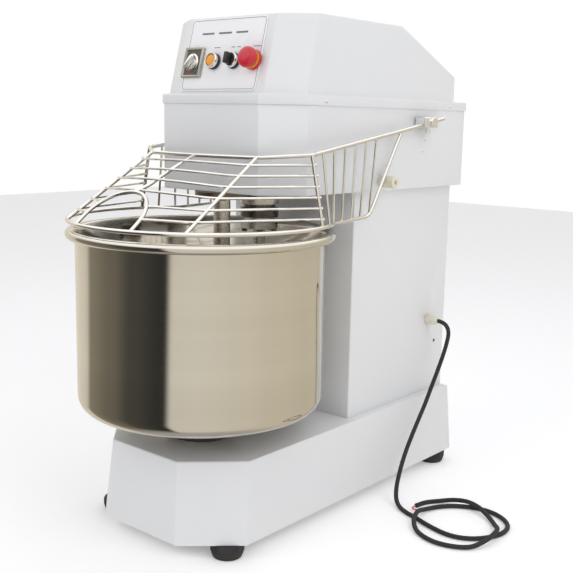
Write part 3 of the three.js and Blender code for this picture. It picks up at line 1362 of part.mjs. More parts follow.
// The first few millimetres leave the gland square to its end.
cordKnots.splice(1, 0, [cordStart[0] + 4, cordStart[1], cordStart[2]]);
const jacketEnd = cordRoute[cordRoute.length - 1];
const conductorRoute = [
  [jacketEnd[0] - 0.2, jacketEnd[1] - GAP - 0.1, jacketEnd[2]],
  [297.5, 331, 5.6],
  [302, 322, 6.2],
  [309, 323, 5.5],
  [313, 335, 4],
  [317, 350, 3],
  [322, 366, 2.6],
  [328.5, 380, 2.2],
];

part('cord_gland', gland(), creamPlastic);
part('cord', rod(cordKnots, CORD_RADIUS, CORD_SIDES), cordRubber);
part('cord_conductor', rod(smoothKnots(conductorRoute, 18), CONDUCTOR_RADIUS), pinkInsulation);

export default mixer;
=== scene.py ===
"""A spiral dough mixer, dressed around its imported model. Lengths are in metres."""

import json
import logging
import math
from collections.abc import Callable, Sequence
from dataclasses import dataclass, field
from enum import Enum

import bpy
from mathutils import Matrix, Vector

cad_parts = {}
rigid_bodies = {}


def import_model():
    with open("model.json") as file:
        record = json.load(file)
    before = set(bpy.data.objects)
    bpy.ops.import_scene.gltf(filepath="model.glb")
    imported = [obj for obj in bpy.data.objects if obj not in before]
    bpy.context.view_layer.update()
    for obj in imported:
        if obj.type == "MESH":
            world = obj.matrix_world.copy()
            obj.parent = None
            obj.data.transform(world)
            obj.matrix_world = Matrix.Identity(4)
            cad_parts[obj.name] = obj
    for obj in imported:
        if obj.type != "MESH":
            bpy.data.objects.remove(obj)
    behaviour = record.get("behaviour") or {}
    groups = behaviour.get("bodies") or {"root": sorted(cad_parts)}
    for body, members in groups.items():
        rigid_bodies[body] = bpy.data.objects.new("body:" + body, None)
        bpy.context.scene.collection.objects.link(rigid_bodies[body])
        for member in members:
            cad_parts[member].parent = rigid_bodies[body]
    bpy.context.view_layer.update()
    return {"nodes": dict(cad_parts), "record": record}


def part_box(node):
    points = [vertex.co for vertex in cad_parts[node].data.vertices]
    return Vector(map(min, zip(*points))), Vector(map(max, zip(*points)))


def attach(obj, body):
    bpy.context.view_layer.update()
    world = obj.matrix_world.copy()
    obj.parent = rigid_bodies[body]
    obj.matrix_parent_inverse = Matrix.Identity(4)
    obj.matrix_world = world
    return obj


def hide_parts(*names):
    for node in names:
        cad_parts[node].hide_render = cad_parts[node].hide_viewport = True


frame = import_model()

logging.basicConfig(level=logging.INFO, format="%(message)s")
log = logging.getLogger("dough_mixer")

Place = tuple[float, float, float]
Profile = Sequence[tuple[float, float]]
BOWL_AXIS_Y = sum(corner.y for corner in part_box("bowl")) / 2
SPINDLE_Y = sum(corner.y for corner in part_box("spindle")) / 2
SMOOTH_ANGLE = math.radians(35)
FLAT_ANGLE = math.radians(1.0)
BEND_ANGLE = math.radians(8.0)
CORNER_DIVISOR = 2.2
BOLTS = 4
HEXAGON = 6


class Body(Enum):
    """The moving bodies of the machine."""

    MACHINE = "machine"
    BOWL = "bowl"
    HOOK = "hook"
    GUARD = "guard"
    TIMER = "timer_knob"
    BUTTON = "push_button"
    SELECTOR = "selector_knob"
    STOP_HEAD = "estop_mushroom"


class Slot(Enum):
    """The finishes that the record names."""

    PAINT = "paint"
    STAINLESS = "stainless"
    BRIGHT_STEEL = "bright_steel"
    DARK_STEEL = "dark_steel"
    CAST_IRON = "cast_iron"
    TIMER_FRAME = "timer_frame"
    RUBBER = "rubber"
    CREAM_PLASTIC = "cream_plastic"
    BLACK_PLASTIC = "black_plastic"
    RED_PLASTIC = "red_plastic"
    ORANGE_PLASTIC = "orange_plastic"
    LABEL_FILM = "label_film"
    CORD_JACKET = "cord_jacket"
    RED_INSULATION = "red_insulation"


class Direction(Enum):
    """The way a turned piece's axis runs."""

    RIGHT = (1.0, 0.0, 0.0)
    LEFT = (-1.0, 0.0, 0.0)
    BACK = (0.0, 1.0, 0.0)


# ---- shader groups ----------------------------------------------------------------------------
def group_socket(tree: bpy.types.NodeTree, name: str, kind: str, is_input: bool,
                 value: object = None) -> None:
    """Adds a socket to a shader group.

    Args:
        tree: the group.
        name: the socket's name.
        kind: the socket type, without its prefix.
        is_input: True for an input, False for an output.
        value: the input's default.
    """
    side = "INPUT" if is_input else "OUTPUT"
    socket = tree.interface.new_socket(name, in_out=side, socket_type="NodeSocket" + kind)
    if value is not None:
        socket.default_value = value


def new_node(tree: bpy.types.NodeTree, kind: str, **settings: object) -> bpy.types.Node:
    """Adds a node and sets its properties.

    Args:
        tree: the tree that takes the node.
        kind: the node type, without its prefix.
        settings: properties of the node.

    Returns:
        The node.
    """
    node = tree.nodes.new("ShaderNode" + kind)
    for name, value in settings.items():
        setattr(node, name, value)
    return node


def surface_group() -> bpy.types.NodeTree:
    """Builds the group that varies a finish over its surface.

    Returns:
        A group with colour, roughness and height outputs.
    """
    tree = bpy.data.node_groups.new("surface_variation", "ShaderNodeTree")
    group_socket(tree, "Vector", "Vector", True)
    group_socket(tree, "Base", "Color", True, (0.5, 0.5, 0.5, 1))
    group_socket(tree, "Stain", "Color", True, (0.4, 0.4, 0.4, 1))
    numbers = {
        "Stain Amount": 0.1, "Roughness": 0.5, "Roughness Spread": 0.1, "Fine Scale": 500.0,
        "Broad Scale": 6.0,
    }
    for name, value in numbers.items():
        group_socket(tree, name, "Float", True, value)
    for name, kind in (("Color", "Color"), ("Roughness", "Float"), ("Height", "Float")):
        group_socket(tree, name, kind, False)
    source = tree.nodes.new("NodeGroupInput")
    target = tree.nodes.new("NodeGroupOutput")
    fine = new_node(tree, "TexNoise")
    fine.inputs["Detail"].default_value = 3.0
    broad = new_node(tree, "TexNoise")
    broad.inputs["Detail"].default_value = 4.0
    stained = new_node(tree, "Math", operation="MULTIPLY")
    contrast = new_node(tree, "MapRange")
    contrast.inputs["From Min"].default_value = 0.38
    contrast.inputs["From Max"].default_value = 0.68
    tint = new_node(tree, "Mix", data_type="RGBA")
    centred = new_node(tree, "Math", operation="SUBTRACT")
    centred.inputs[1].default_value = 0.5
    spread = new_node(tree, "Math", operation="MULTIPLY_ADD")
    link = tree.links.new
    for texture, scale in ((fine, "Fine Scale"), (broad, "Broad Scale")):
        link(source.outputs["Vector"], texture.inputs["Vector"])
        link(source.outputs[scale], texture.inputs["Scale"])
    link(broad.outputs["Fac"], contrast.inputs["Value"])
    link(contrast.outputs["Result"], stained.inputs[0])
    link(source.outputs["Stain Amount"], stained.inputs[1])
    link(stained.outputs[0], tint.inputs["Factor"])
    link(source.outputs["Base"], tint.inputs["A"])
    link(source.outputs["Stain"], tint.inputs["B"])
    link(fine.outputs["Fac"], centred.inputs[0])
    link(centred.outputs[0], spread.inputs[0])
    link(source.outputs["Roughness Spread"], spread.inputs[1])
    link(source.outputs["Roughness"], spread.inputs[2])
    link(tint.outputs["Result"], target.inputs["Color"])
    link(spread.outputs[0], target.inputs["Roughness"])
    link(fine.outputs["Fac"], target.inputs["Height"])
    return tree


def turned_group() -> bpy.types.NodeTree:
    """Builds the group that lays a pattern in rings round an upright axis.

    Returns:
        A group that turns a position into one of radius and height.
    """
    tree = bpy.data.node_groups.new("turned_grain", "ShaderNodeTree")
    group_socket(tree, "Vector", "Vector", True)
    group_socket(tree, "Along", "Float", True, 0.02)
    group_socket(tree, "Vector", "Vector", False)
    source = tree.nodes.new("NodeGroupInput")
    target = tree.nodes.new("NodeGroupOutput")
    apart = new_node(tree, "SeparateXYZ")
    flat = new_node(tree, "CombineXYZ")
    length = new_node(tree, "VectorMath", operation="LENGTH")
    slow = new_node(tree, "VectorMath", operation="SCALE")
    lift = new_node(tree, "CombineXYZ")
    total = new_node(tree, "VectorMath", operation="ADD")
    link = tree.links.new
    link(source.outputs["Vector"], apart.inputs[0])
    link(apart.outputs["X"], flat.inputs["X"])
    link(apart.outputs["Y"], flat.inputs["Y"])
    link(flat.outputs[0], length.inputs[0])
    link(flat.outputs[0], slow.inputs[0])
    link(source.outputs["Along"], slow.inputs["Scale"])
    link(length.outputs["Value"], lift.inputs["X"])
    link(apart.outputs["Z"], lift.inputs["Z"])
    link(slow.outputs[0], total.inputs[0])
    link(lift.outputs[0], total.inputs[1])
    link(total.outputs[0], target.inputs["Vector"])
    return tree


class Groups:
    """The shader groups, each built when it is first asked for."""

    _built: dict[str, bpy.types.NodeTree] = {}

    @classmethod
    def get(cls, name: str, build: Callable[[], bpy.types.NodeTree]) -> bpy.types.NodeTree:
        """Returns the named group, and builds it the first time."""
        if name not in cls._built:
            cls._built[name] = build()
        return cls._built[name]


# ---- finishes ---------------------------------------------------------------------------------
@dataclass(frozen=True)
class Finish:
    """A surface finish.

    Attributes:
        name: the material's name.
        colour: the base colour, linear.
        stain: the colour it drifts towards.
        stain_amount: how far it drifts.
        metallic: 1 for metal.
        roughness: the mean roughness.
        spread: how much the roughness varies.
        fine: the fine pattern's scale, per metre.
        broad: the broad pattern's scale, per metre.
        relief: the fine pattern's depth in metres.
        stretch: the pattern's scale along X, Y and Z.
        rings: True for a pattern in rings round the piece's upright axis.
        centre_y: that axis's place.
        coat: the clear coat's weight.
    """

    name: str
    colour: Place
    stain: Place
    stain_amount: float = 0.15
    metallic: float = 0.0
    roughness: float = 0.4
    spread: float = 0.1
    fine: float = 600.0
    broad: float = 7.0
    relief: float = 0.00002
    stretch: Place = (1.0, 1.0, 1.0)
    rings: bool = False
    centre_y: float = 0.0
    coat: float = 0.0

    def material(self) -> bpy.types.Material:
        """Returns the material, and makes it the first time."""
        made = bpy.data.materials.get(self.name)
        return made if made else self._make()

    def _make(self) -> bpy.types.Material:
        """Builds the material's nodes.

        Returns:
            The new material.
        """
        material = bpy.data.materials.new(self.name)
        material.use_nodes = True
        tree = material.node_tree
        shader = tree.nodes["Principled BSDF"]
        place = new_node(tree, "TexCoord")
        mapping = new_node(tree, "Mapping")
        mapping.inputs["Scale"].default_value = self.stretch
        mapping.inputs["Location"].default_value = (0.0, -self.centre_y, 0.0)
        surface = new_node(tree, "Group", node_tree=Groups.get("surface", surface_group))
        values = {
            "Base": (*self.colour, 1.0),
            "Stain": (*self.stain, 1.0),
            "Stain Amount": self.stain_amount,
            "Roughness": self.roughness,
            "Roughness Spread": self.spread,
            "Fine Scale": self.fine,
            "Broad Scale": self.broad,
        }
        for name, value in values.items():
            surface.inputs[name].default_value = value
        bump = new_node(tree, "Bump")
        bump.inputs["Distance"].default_value = self.relief
        link = tree.links.new
        link(place.outputs["Object"], mapping.inputs["Vector"])
        pattern = mapping.outputs["Vector"]
        if self.rings:
            rings = new_node(tree, "Group", node_tree=Groups.get("turned", turned_group))
            link(pattern, rings.inputs["Vector"])
            pattern = rings.outputs["Vector"]
        link(pattern, surface.inputs["Vector"])
        link(surface.outputs["Color"], shader.inputs["Base Color"])
        link(surface.outputs["Roughness"], shader.inputs["Roughness"])
        link(surface.outputs["Height"], bump.inputs["Height"])
        link(bump.outputs["Normal"], shader.inputs["Normal"])
        shader.inputs["Metallic"].default_value = self.metallic
        shader.inputs["Coat Weight"].default_value = self.coat
        return material


PAINT = Finish(
    "powder_coat", (0.815, 0.82, 0.83), (0.74, 0.745, 0.76), 0.25, 0.0, 0.42, 0.12, 900.0, 3.0, 0.000012,
    coat=0.05,
)
BOWL_STEEL = Finish(
    "polished_bowl", (0.66, 0.63, 0.58), (0.50, 0.47, 0.42), 0.35, 1.0, 0.085, 0.09, 420.0, 9.0, 0.000004,
    rings=True, centre_y=BOWL_AXIS_Y,
)
ROD_STEEL = Finish(
    "polished_rod", (0.76, 0.745, 0.725), (0.55, 0.53, 0.50), 0.3, 1.0, 0.12, 0.10, 700.0, 24.0, 0.000006,
)
TOOL_STEEL = Finish(
    "turned_tool_steel", (0.60, 0.57, 0.53), (0.34, 0.30, 0.26), 0.5, 1.0, 0.27, 0.16, 520.0, 18.0, 0.00001,
    rings=True, centre_y=SPINDLE_Y,
)
PLATED = Finish(
    "bright_plating", (0.82, 0.82, 0.82), (0.62, 0.62, 0.63), 0.2, 1.0, 0.12, 0.08, 900.0, 30.0, 0.000004,
)
BROWN_STEEL = Finish(
    "oiled_steel", (0.23, 0.19, 0.155), (0.12, 0.085, 0.06), 0.7, 1.0, 0.36, 0.2, 480.0, 22.0, 0.00003,
)
BLUED_STEEL = Finish(
    "dark_turned_steel", (0.115, 0.11, 0.105), (0.05, 0.047, 0.045), 0.5, 1.0, 0.24, 0.14, 520.0, 20.0,
    0.00001,
    rings=True, centre_y=SPINDLE_Y,
)
IRON = Finish(
    "enamelled_iron", (0.055, 0.057, 0.06), (0.09, 0.085, 0.08), 0.5, 0.0, 0.5, 0.25, 420.0, 12.0, 0.0002,
    coat=0.15,
)
TIMER_METAL = Finish(
    "brushed_frame", (0.56, 0.53, 0.46), (0.36, 0.33, 0.27), 0.4, 1.0, 0.34, 0.25, 900.0, 60.0, 0.00001,
    stretch=(0.06, 1.0, 1.0),
)
TIMER_FACE = Finish(
    "timer_face", (0.075, 0.077, 0.07), (0.16, 0.16, 0.14), 0.5, 0.0, 0.5, 0.3, 1500.0, 320.0, 0.00008,
)
RUBBER = Finish(
    "moulded_rubber", (0.018, 0.018, 0.019), (0.05, 0.048, 0.045), 0.5, 0.0, 0.72, 0.2, 1100.0, 40.0, 0.00005,
)
CREAM = Finish(
    "cream_nylon", (0.80, 0.76, 0.62), (0.62, 0.56, 0.42), 0.3, 0.0, 0.45, 0.15, 1200.0, 60.0, 0.00003,
)
BLACK = Finish(
    "black_moulding", (0.014, 0.014, 0.016), (0.04, 0.04, 0.042), 0.35, 0.0, 0.34, 0.15, 1400.0, 70.0,
    0.00003,
)
RED = Finish(
    "red_moulding", (0.60, 0.012, 0.030), (0.42, 0.006, 0.018), 0.3, 0.0, 0.26, 0.12, 1300.0, 60.0, 0.00001,
    coat=0.3,
)
YELLOW = Finish(
    "yellow_ring", (0.85, 0.38, 0.03), (0.70, 0.26, 0.02), 0.3, 0.0, 0.35, 0.1, 1300.0, 90.0, 0.00001,
)
ORANGE = Finish(
    "orange_lens", (0.86, 0.36, 0.02), (0.70, 0.24, 0.01), 0.35, 0.0, 0.22, 0.1, 1300.0, 120.0, 0.00001,
    coat=0.5,
)
FILM = Finish(
    "label_film", (0.86, 0.87, 0.88), (0.80, 0.81, 0.83), 0.2, 0.0, 0.33, 0.08, 1500.0, 14.0, 0.000004,
    coat=0.2,
)
PRINT = Finish(
    "grey_print", (0.16, 0.17, 0.18), (0.26, 0.27, 0.28), 0.3, 0.0, 0.5, 0.1, 1500.0, 200.0, 0.000002,
)
RED_PRINT = Finish(
    "red_print", (0.50, 0.03, 0.03), (0.36, 0.02, 0.02), 0.3, 0.0, 0.5, 0.1, 1500.0, 200.0, 0.000002,
)
JACKET = Finish(
    "cord_jacket", (0.016, 0.016, 0.018), (0.045, 0.045, 0.048), 0.4, 0.0, 0.38, 0.2, 1300.0, 35.0, 0.00002,
    coat=0.1,
)
INSULATION = Finish(
    "wire_insulation", (0.62, 0.09, 0.12), (0.45, 0.05, 0.07), 0.3, 0.0, 0.35, 0.1, 1500.0, 120.0, 0.00001,
)
PAPER = Finish(
    "white_paper", (0.97, 0.97, 0.972), (0.96, 0.96, 0.962), 0.1, 0.0, 0.8, 0.05, 200.0, 2.0, 0.000001,
)
SLOT_FINISH = {
    Slot.PAINT: PAINT,
    Slot.STAINLESS: TOOL_STEEL,
    Slot.BRIGHT_STEEL: PLATED,
    Slot.DARK_STEEL: BROWN_STEEL,
    Slot.CAST_IRON: IRON,
    Slot.TIMER_FRAME: TIMER_METAL,
    Slot.RUBBER: RUBBER,
    Slot.CREAM_PLASTIC: CREAM,
    Slot.BLACK_PLASTIC: BLACK,
    Slot.RED_PLASTIC: RED,
    Slot.ORANGE_PLASTIC: ORANGE,
    Slot.LABEL_FILM: FILM,
    Slot.CORD_JACKET: JACKET,
    Slot.RED_INSULATION: INSULATION,
}


# ---- shaping ----------------------------------------------------------------------------------
def only(piece: bpy.types.Object) -> None:
    """Deselects everything, then selects the piece and makes it active."""
    for other in bpy.context.scene.objects:
        other.select_set(False)
    piece.select_set(True)
    bpy.context.view_layer.objects.active = piece


def settle(piece: bpy.types.Object, place: Matrix | None = None) -> bpy.types.Object:
    """Puts the piece's place into its mesh.

    Args:
        piece: the object.
        place: where it goes, on top of where it stands.

    Returns:
        The piece, at the origin, unturned and unscaled.
    """
    only(piece)
    if place is not None:
        piece.matrix_world = place @ piece.matrix_world
    bpy.ops.object.transform_apply(location=True, rotation=True, scale=True)
    return piece


def facing(direction: Direction, at: Place) -> Matrix:
    """Returns the placement that turns +Z to the direction and moves to the point."""
    turn = Vector((0.0, 0.0, 1.0)).rotation_difference(Vector(direction.value))
    return Matrix.Translation(at) @ turn.to_matrix().to_4x4()


def outward(piece: bpy.types.Object, merge: float = 1e-6) -> bpy.types.Object:
    """Merges doubles and turns the faces outwards.

    Args:
        piece: the object.
        merge: how near two points are to be one, in metres.

    Returns:
        The piece.
    """
    only(piece)
    bpy.ops.object.mode_set(mode="EDIT")
    bpy.ops.mesh.select_all(action="SELECT")
    bpy.ops.mesh.remove_doubles(threshold=merge)
    bpy.ops.mesh.normals_make_consistent(inside=False)
    bpy.ops.object.mode_set(mode="OBJECT")
    return piece


def bevelled(piece: bpy.types.Object, width: float, segments: int = 2,
             angle: float = 30.0) -> bpy.types.Object:
    """Rounds the piece's sharp edges.

    Args:
        piece: the object.
        width: the bevel's width in metres.
        segments: steps across the bevel.
        angle: the least angle of an edge that is rounded, in degrees.

    Returns:
        The piece.
    """
    only(piece)
    bevel = piece.modifiers.new("edges", "BEVEL")
    bevel.width = width
    bevel.segments = segments
    bevel.limit_method = "ANGLE"
    bevel.angle_limit = math.radians(angle)
    bevel.harden_normals = False
    bpy.ops.object.modifier_apply(modifier=bevel.name)
    bpy.ops.object.shade_smooth_by_angle(angle=SMOOTH_ANGLE)
    return piece


def turned(name: str, profile: Profile, place: Matrix, segments: int = 48,
           hollow: bool = False) -> bpy.types.Object:
    """Makes a turned piece from a circle that is drawn up its profile.

    Args:
        name: the piece's name.
        profile: (radius, height) pairs up its outer side, all off the axis.
        place: where its foot stands and which way it points.
        segments: facets round it.
        hollow: True where the profile comes back to its start.

    Returns:
        The piece.
    """
    radius, height = profile[0]
    release()
    bpy.ops.mesh.primitive_circle_add(
        vertices=segments, radius=radius, fill_type="NOTHING", location=(0.0, 0.0, height),
    )
    piece = bpy.context.object
    piece.name = name
    settle(piece)
    bpy.ops.object.mode_set(mode="EDIT")
    bpy.ops.mesh.select_mode(type="EDGE")
    bpy.ops.mesh.select_all(action="SELECT")
    for next_radius, next_height in profile[1:]:
        rise = (0.0, 0.0, next_height - height)
        bpy.ops.mesh.extrude_edges_move(TRANSFORM_OT_translate={"value": rise})
        share = next_radius / radius
        bpy.ops.transform.resize(value=(share, share, 1.0), center_override=(0.0, 0.0, next_height))
        radius, height = next_radius, next_height
    if not hollow:
        bpy.ops.mesh.edge_face_add()
        bpy.ops.mesh.select_all(action="DESELECT")
        bpy.ops.mesh.select_non_manifold()
        bpy.ops.mesh.edge_face_add()
    bpy.ops.object.mode_set(mode="OBJECT")
    outward(piece)
    settle(piece, place)
    bpy.ops.object.shade_smooth_by_angle(angle=SMOOTH_ANGLE)
    return piece


def block(name: str, size: Place, place: Matrix, width: float, segments: int = 3) -> bpy.types.Object:
    """Makes a block with rounded edges.

    Args:
        name: the piece's name.
        size: its lengths along X, Y and Z.
        place: where its middle is and how it is turned.
        width: the rounding's width.
        segments: steps across the rounding.

    Returns:
        The piece.
    """
    release()
    bpy.ops.mesh.primitive_cube_add(size=1.0, location=(0.0, 0.0, 0.0), scale=size)
    piece = bpy.context.object
    piece.name = name
    settle(piece, place)
    return bevelled(piece, width, segments)


def tube(name: str, points: Sequence[Vector], radius: float, resolution: int = 3) -> bpy.types.Object:
    """Makes a round rod along a path.

    Args:
        name: the piece's name.
        points: the path, already dense at its bends.
        radius: the rod's radius.
        resolution: how fine its section is.

    Returns:
        The piece, as a mesh.
    """
    release()
    bpy.ops.curve.primitive_bezier_curve_add(location=(0.0, 0.0, 0.0))
    piece = bpy.context.object
    piece.name = name
    trace(piece.data, points, radius, resolution)
    bpy.ops.object.convert(target="MESH")
    outward(piece)
    bpy.ops.object.shade_smooth_by_angle(angle=SMOOTH_ANGLE)
    return piece


def trace(curve: bpy.types.Curve, points: Sequence[Vector], radius: float, resolution: int) -> None:
    """Gives a curve one open spline through the points, as a round tube.

    Args:
        curve: the curve.
        points: the spline's points.
        radius: the tube's radius.
        resolution: how fine the tube's section is.
    """
    curve.splines.clear()
    curve.dimensions = "3D"
    curve.bevel_depth = radius
    curve.bevel_resolution = resolution
    curve.use_fill_caps = True
    spline = curve.splines.new("POLY")
    spline.points.add(len(points) - 1)
    for point, place in zip(spline.points, points):
        point.co = (*place, 1.0)


def joined(name: str, pieces: Sequence[bpy.types.Object]) -> bpy.types.Object:
    """Joins pieces into one and names it."""
    only(pieces[0])
    for piece in pieces:
        piece.select_set(True)
    bpy.ops.object.join()
    pieces[0].name = name
    return pieces[0]


def copied(piece: bpy.types.Object, name: str, place: Matrix) -> bpy.types.Object:
    """Copies a piece with its own mesh and moves the copy by the placement.

    Args:
        piece: what is copied.
        name: the copy's name.
        place: the move from the piece to its copy.

    Returns:
        The copy.
    """
    copy = bpy.data.objects.new(name, piece.data.copy())
    bpy.context.scene.collection.objects.link(copy)
    settle(copy, place)
    return outward(copy) if place.determinant() < 0 else copy


def mirrored(piece: bpy.types.Object, name: str) -> bpy.types.Object:
    """Copies a piece to the machine's other side."""
    return copied(piece, name, Matrix.Scale(-1.0, 4, Vector((1.0, 0.0, 0.0))))


def release() -> None:
    """Deselects every object."""
    for other in bpy.context.scene.objects:
        other.select_set(False)


def sheet_metal(node: str, name: str, bend: float, edge: float,
                panel_area: float = 0.003) -> bpy.types.Object:
    """Copies a packed sheet part and gives it the bends and edges of folded metal.

    Args:
        node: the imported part.
        name: the new piece's name.
        bend: the rounding where two panels meet.
        edge: the rounding of every other sharp edge.
        panel_area: the least area of a face that counts as a panel.

    Returns:
        The piece.
    """
    piece = bpy.data.objects.new(name, frame["nodes"][node].data.copy())
    bpy.context.scene.collection.objects.link(piece)
    outward(piece)
    bpy.ops.object.mode_set(mode="EDIT")
    bpy.ops.mesh.select_mode(type="EDGE")
    bpy.ops.mesh.dissolve_limited(angle_limit=FLAT_ANGLE)
    bpy.ops.mesh.select_all(action="DESELECT")
    bpy.ops.object.mode_set(mode="OBJECT")
    if bend > 0.0 and select_bends(piece, panel_area):
        bpy.ops.object.mode_set(mode="EDIT")
        bpy.ops.mesh.bevel(offset=bend, segments=4, affect="EDGES", clamp_overlap=True)
        bpy.ops.object.mode_set(mode="OBJECT")
    return bevelled(piece, edge, 2)


def select_bends(piece: bpy.types.Object, panel_area: float) -> int:
    """Selects the edges where two large panels meet at an angle.

    Args:
        piece: the object, in object mode.
        panel_area: the least area of a panel.

    Returns:
        How many edges are selected.
    """
    beside: dict[tuple[int, int], list[bpy.types.MeshPolygon]] = {}
    for face in piece.data.polygons:
        for key in face.edge_keys:
            beside.setdefault(key, []).append(face)
    count = 0
    for edge in piece.data.edges:
        faces = beside.get(tuple(sorted(edge.vertices)), [])
        if len(faces) != 2 or min(face.area for face in faces) < panel_area:
            continue
        if faces[0].normal.angle(faces[1].normal) > BEND_ANGLE:
            edge.select = True
            count += 1
    return count


def dress(
    piece: bpy.types.Object, finish: Finish, body: Body, slot: Slot, *nodes: str,
) -> bpy.types.Object:
    """Gives a piece its finish and its body.

    Args:
        piece: the object.
        finish: its finish.
        body: what it moves with.
        slot: the record's slot; not used.
        nodes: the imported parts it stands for.

    Returns:
        The piece.
    """
    piece.data.materials.clear()
    piece.data.materials.append(finish.material())
    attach(piece, body.value)
    if nodes:
        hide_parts(*nodes)
    log.info("%s rides on %s", piece.name, body.value)
    return piece


def arc(centre: tuple[float, float], radius: float, start: float, end: float,
        steps: int) -> list[tuple[float, float]]:
    """Returns points of an arc, with its angles in degrees, ends included."""
    angles = [math.radians(start + (end - start) * i / steps) for i in range(steps + 1)]
    return [(centre[0] + radius * math.cos(a), centre[1] + radius * math.sin(a)) for a in angles]


def rounded(points: Sequence[Vector], reach: float, steps: int = 6) -> list[Vector]:
    """Rounds the corners of a path.

    Args:
        points: its corners and ends.
        reach: how far from a corner its rounding starts.
        steps: points round each corner.

    Returns:
        The dense path.
    """
    path = [points[0]]
    for before, corner, after in zip(points, points[1:], points[2:]):
        into, out = before - corner, after - corner
        used = min(reach, into.length / CORNER_DIVISOR, out.length / CORNER_DIVISOR)
        start, end = corner + into.normalized() * used, corner + out.normalized() * used
        for i in range(steps + 1):
            t = i / steps
            path.append(start * (1 - t) ** 2 + corner * 2 * t * (1 - t) + end * t**2)
    return [*path, points[-1]]


def smooth_route(points: Sequence[Vector], steps: int) -> list[Vector]:
    """Returns a smooth route through the points, with the given steps between each two."""
    route = []
    for i in range(len(points) - 1):
        here, there = points[i], points[i + 1]
        before = points[i - 1] if i else here * 2 - there
        after = points[i + 2] if i + 2 < len(points) else there * 2 - here
        spans = [max(1e-6, (b - a).length) ** 0.5 for a, b in ((before, here), (here, there), (there, after))]
        slope_in = (here - before) / spans[0] - (there - before) / (spans[0] + spans[1])
        slope_in = (slope_in + (there - here) / spans[1]) * spans[1]
        slope_out = (there - here) / spans[1] - (after - here) / (spans[1] + spans[2])
        slope_out = (slope_out + (after - there) / spans[2]) * spans[1]
        for k in range(steps):
            t = k / steps
            bow = (there - here) * 3 - slope_in * 2 - slope_out
            twist = (here - there) * 2 + slope_in + slope_out
            route.append(here + slope_in * t + bow * t**2 + twist * t**3)
    return [*route, points[-1]]


def on_machine(x: float, y: float, z: float) -> Vector:
    """Returns a point given from the middle plane, the bowl's axis and the floor."""
    return Vector((x, y + BOWL_AXIS_Y, z))


def flipped(points: Sequence[Vector]) -> list[Vector]:
    """Returns the points on the machine's other side."""
    return [Vector((-p.x, p.y, p.z)) for p in points]


def bolt_circle(name: str, centre: Place, radius: float, profile: Profile) -> bpy.types.Object:
    """Makes a ring of hexagonal bolt heads, as one piece.

    Args:
        name: the piece's name.
        centre: the middle of the ring, at the foot of the heads.
        radius: the ring's radius.
        profile: one head's outline, as for a turned piece.

    Returns:
        The piece.
    """
    heads = []
    for i in range(BOLTS):
        angle = 2 * math.pi / BOLTS * (i + 0.5)
        at = (centre[0] + radius * math.cos(angle), centre[1] + radius * math.sin(angle), centre[2])
        heads.append(turned(f"{name}_{i}", profile, Matrix.Translation(at), HEXAGON))
    return joined(name, heads)


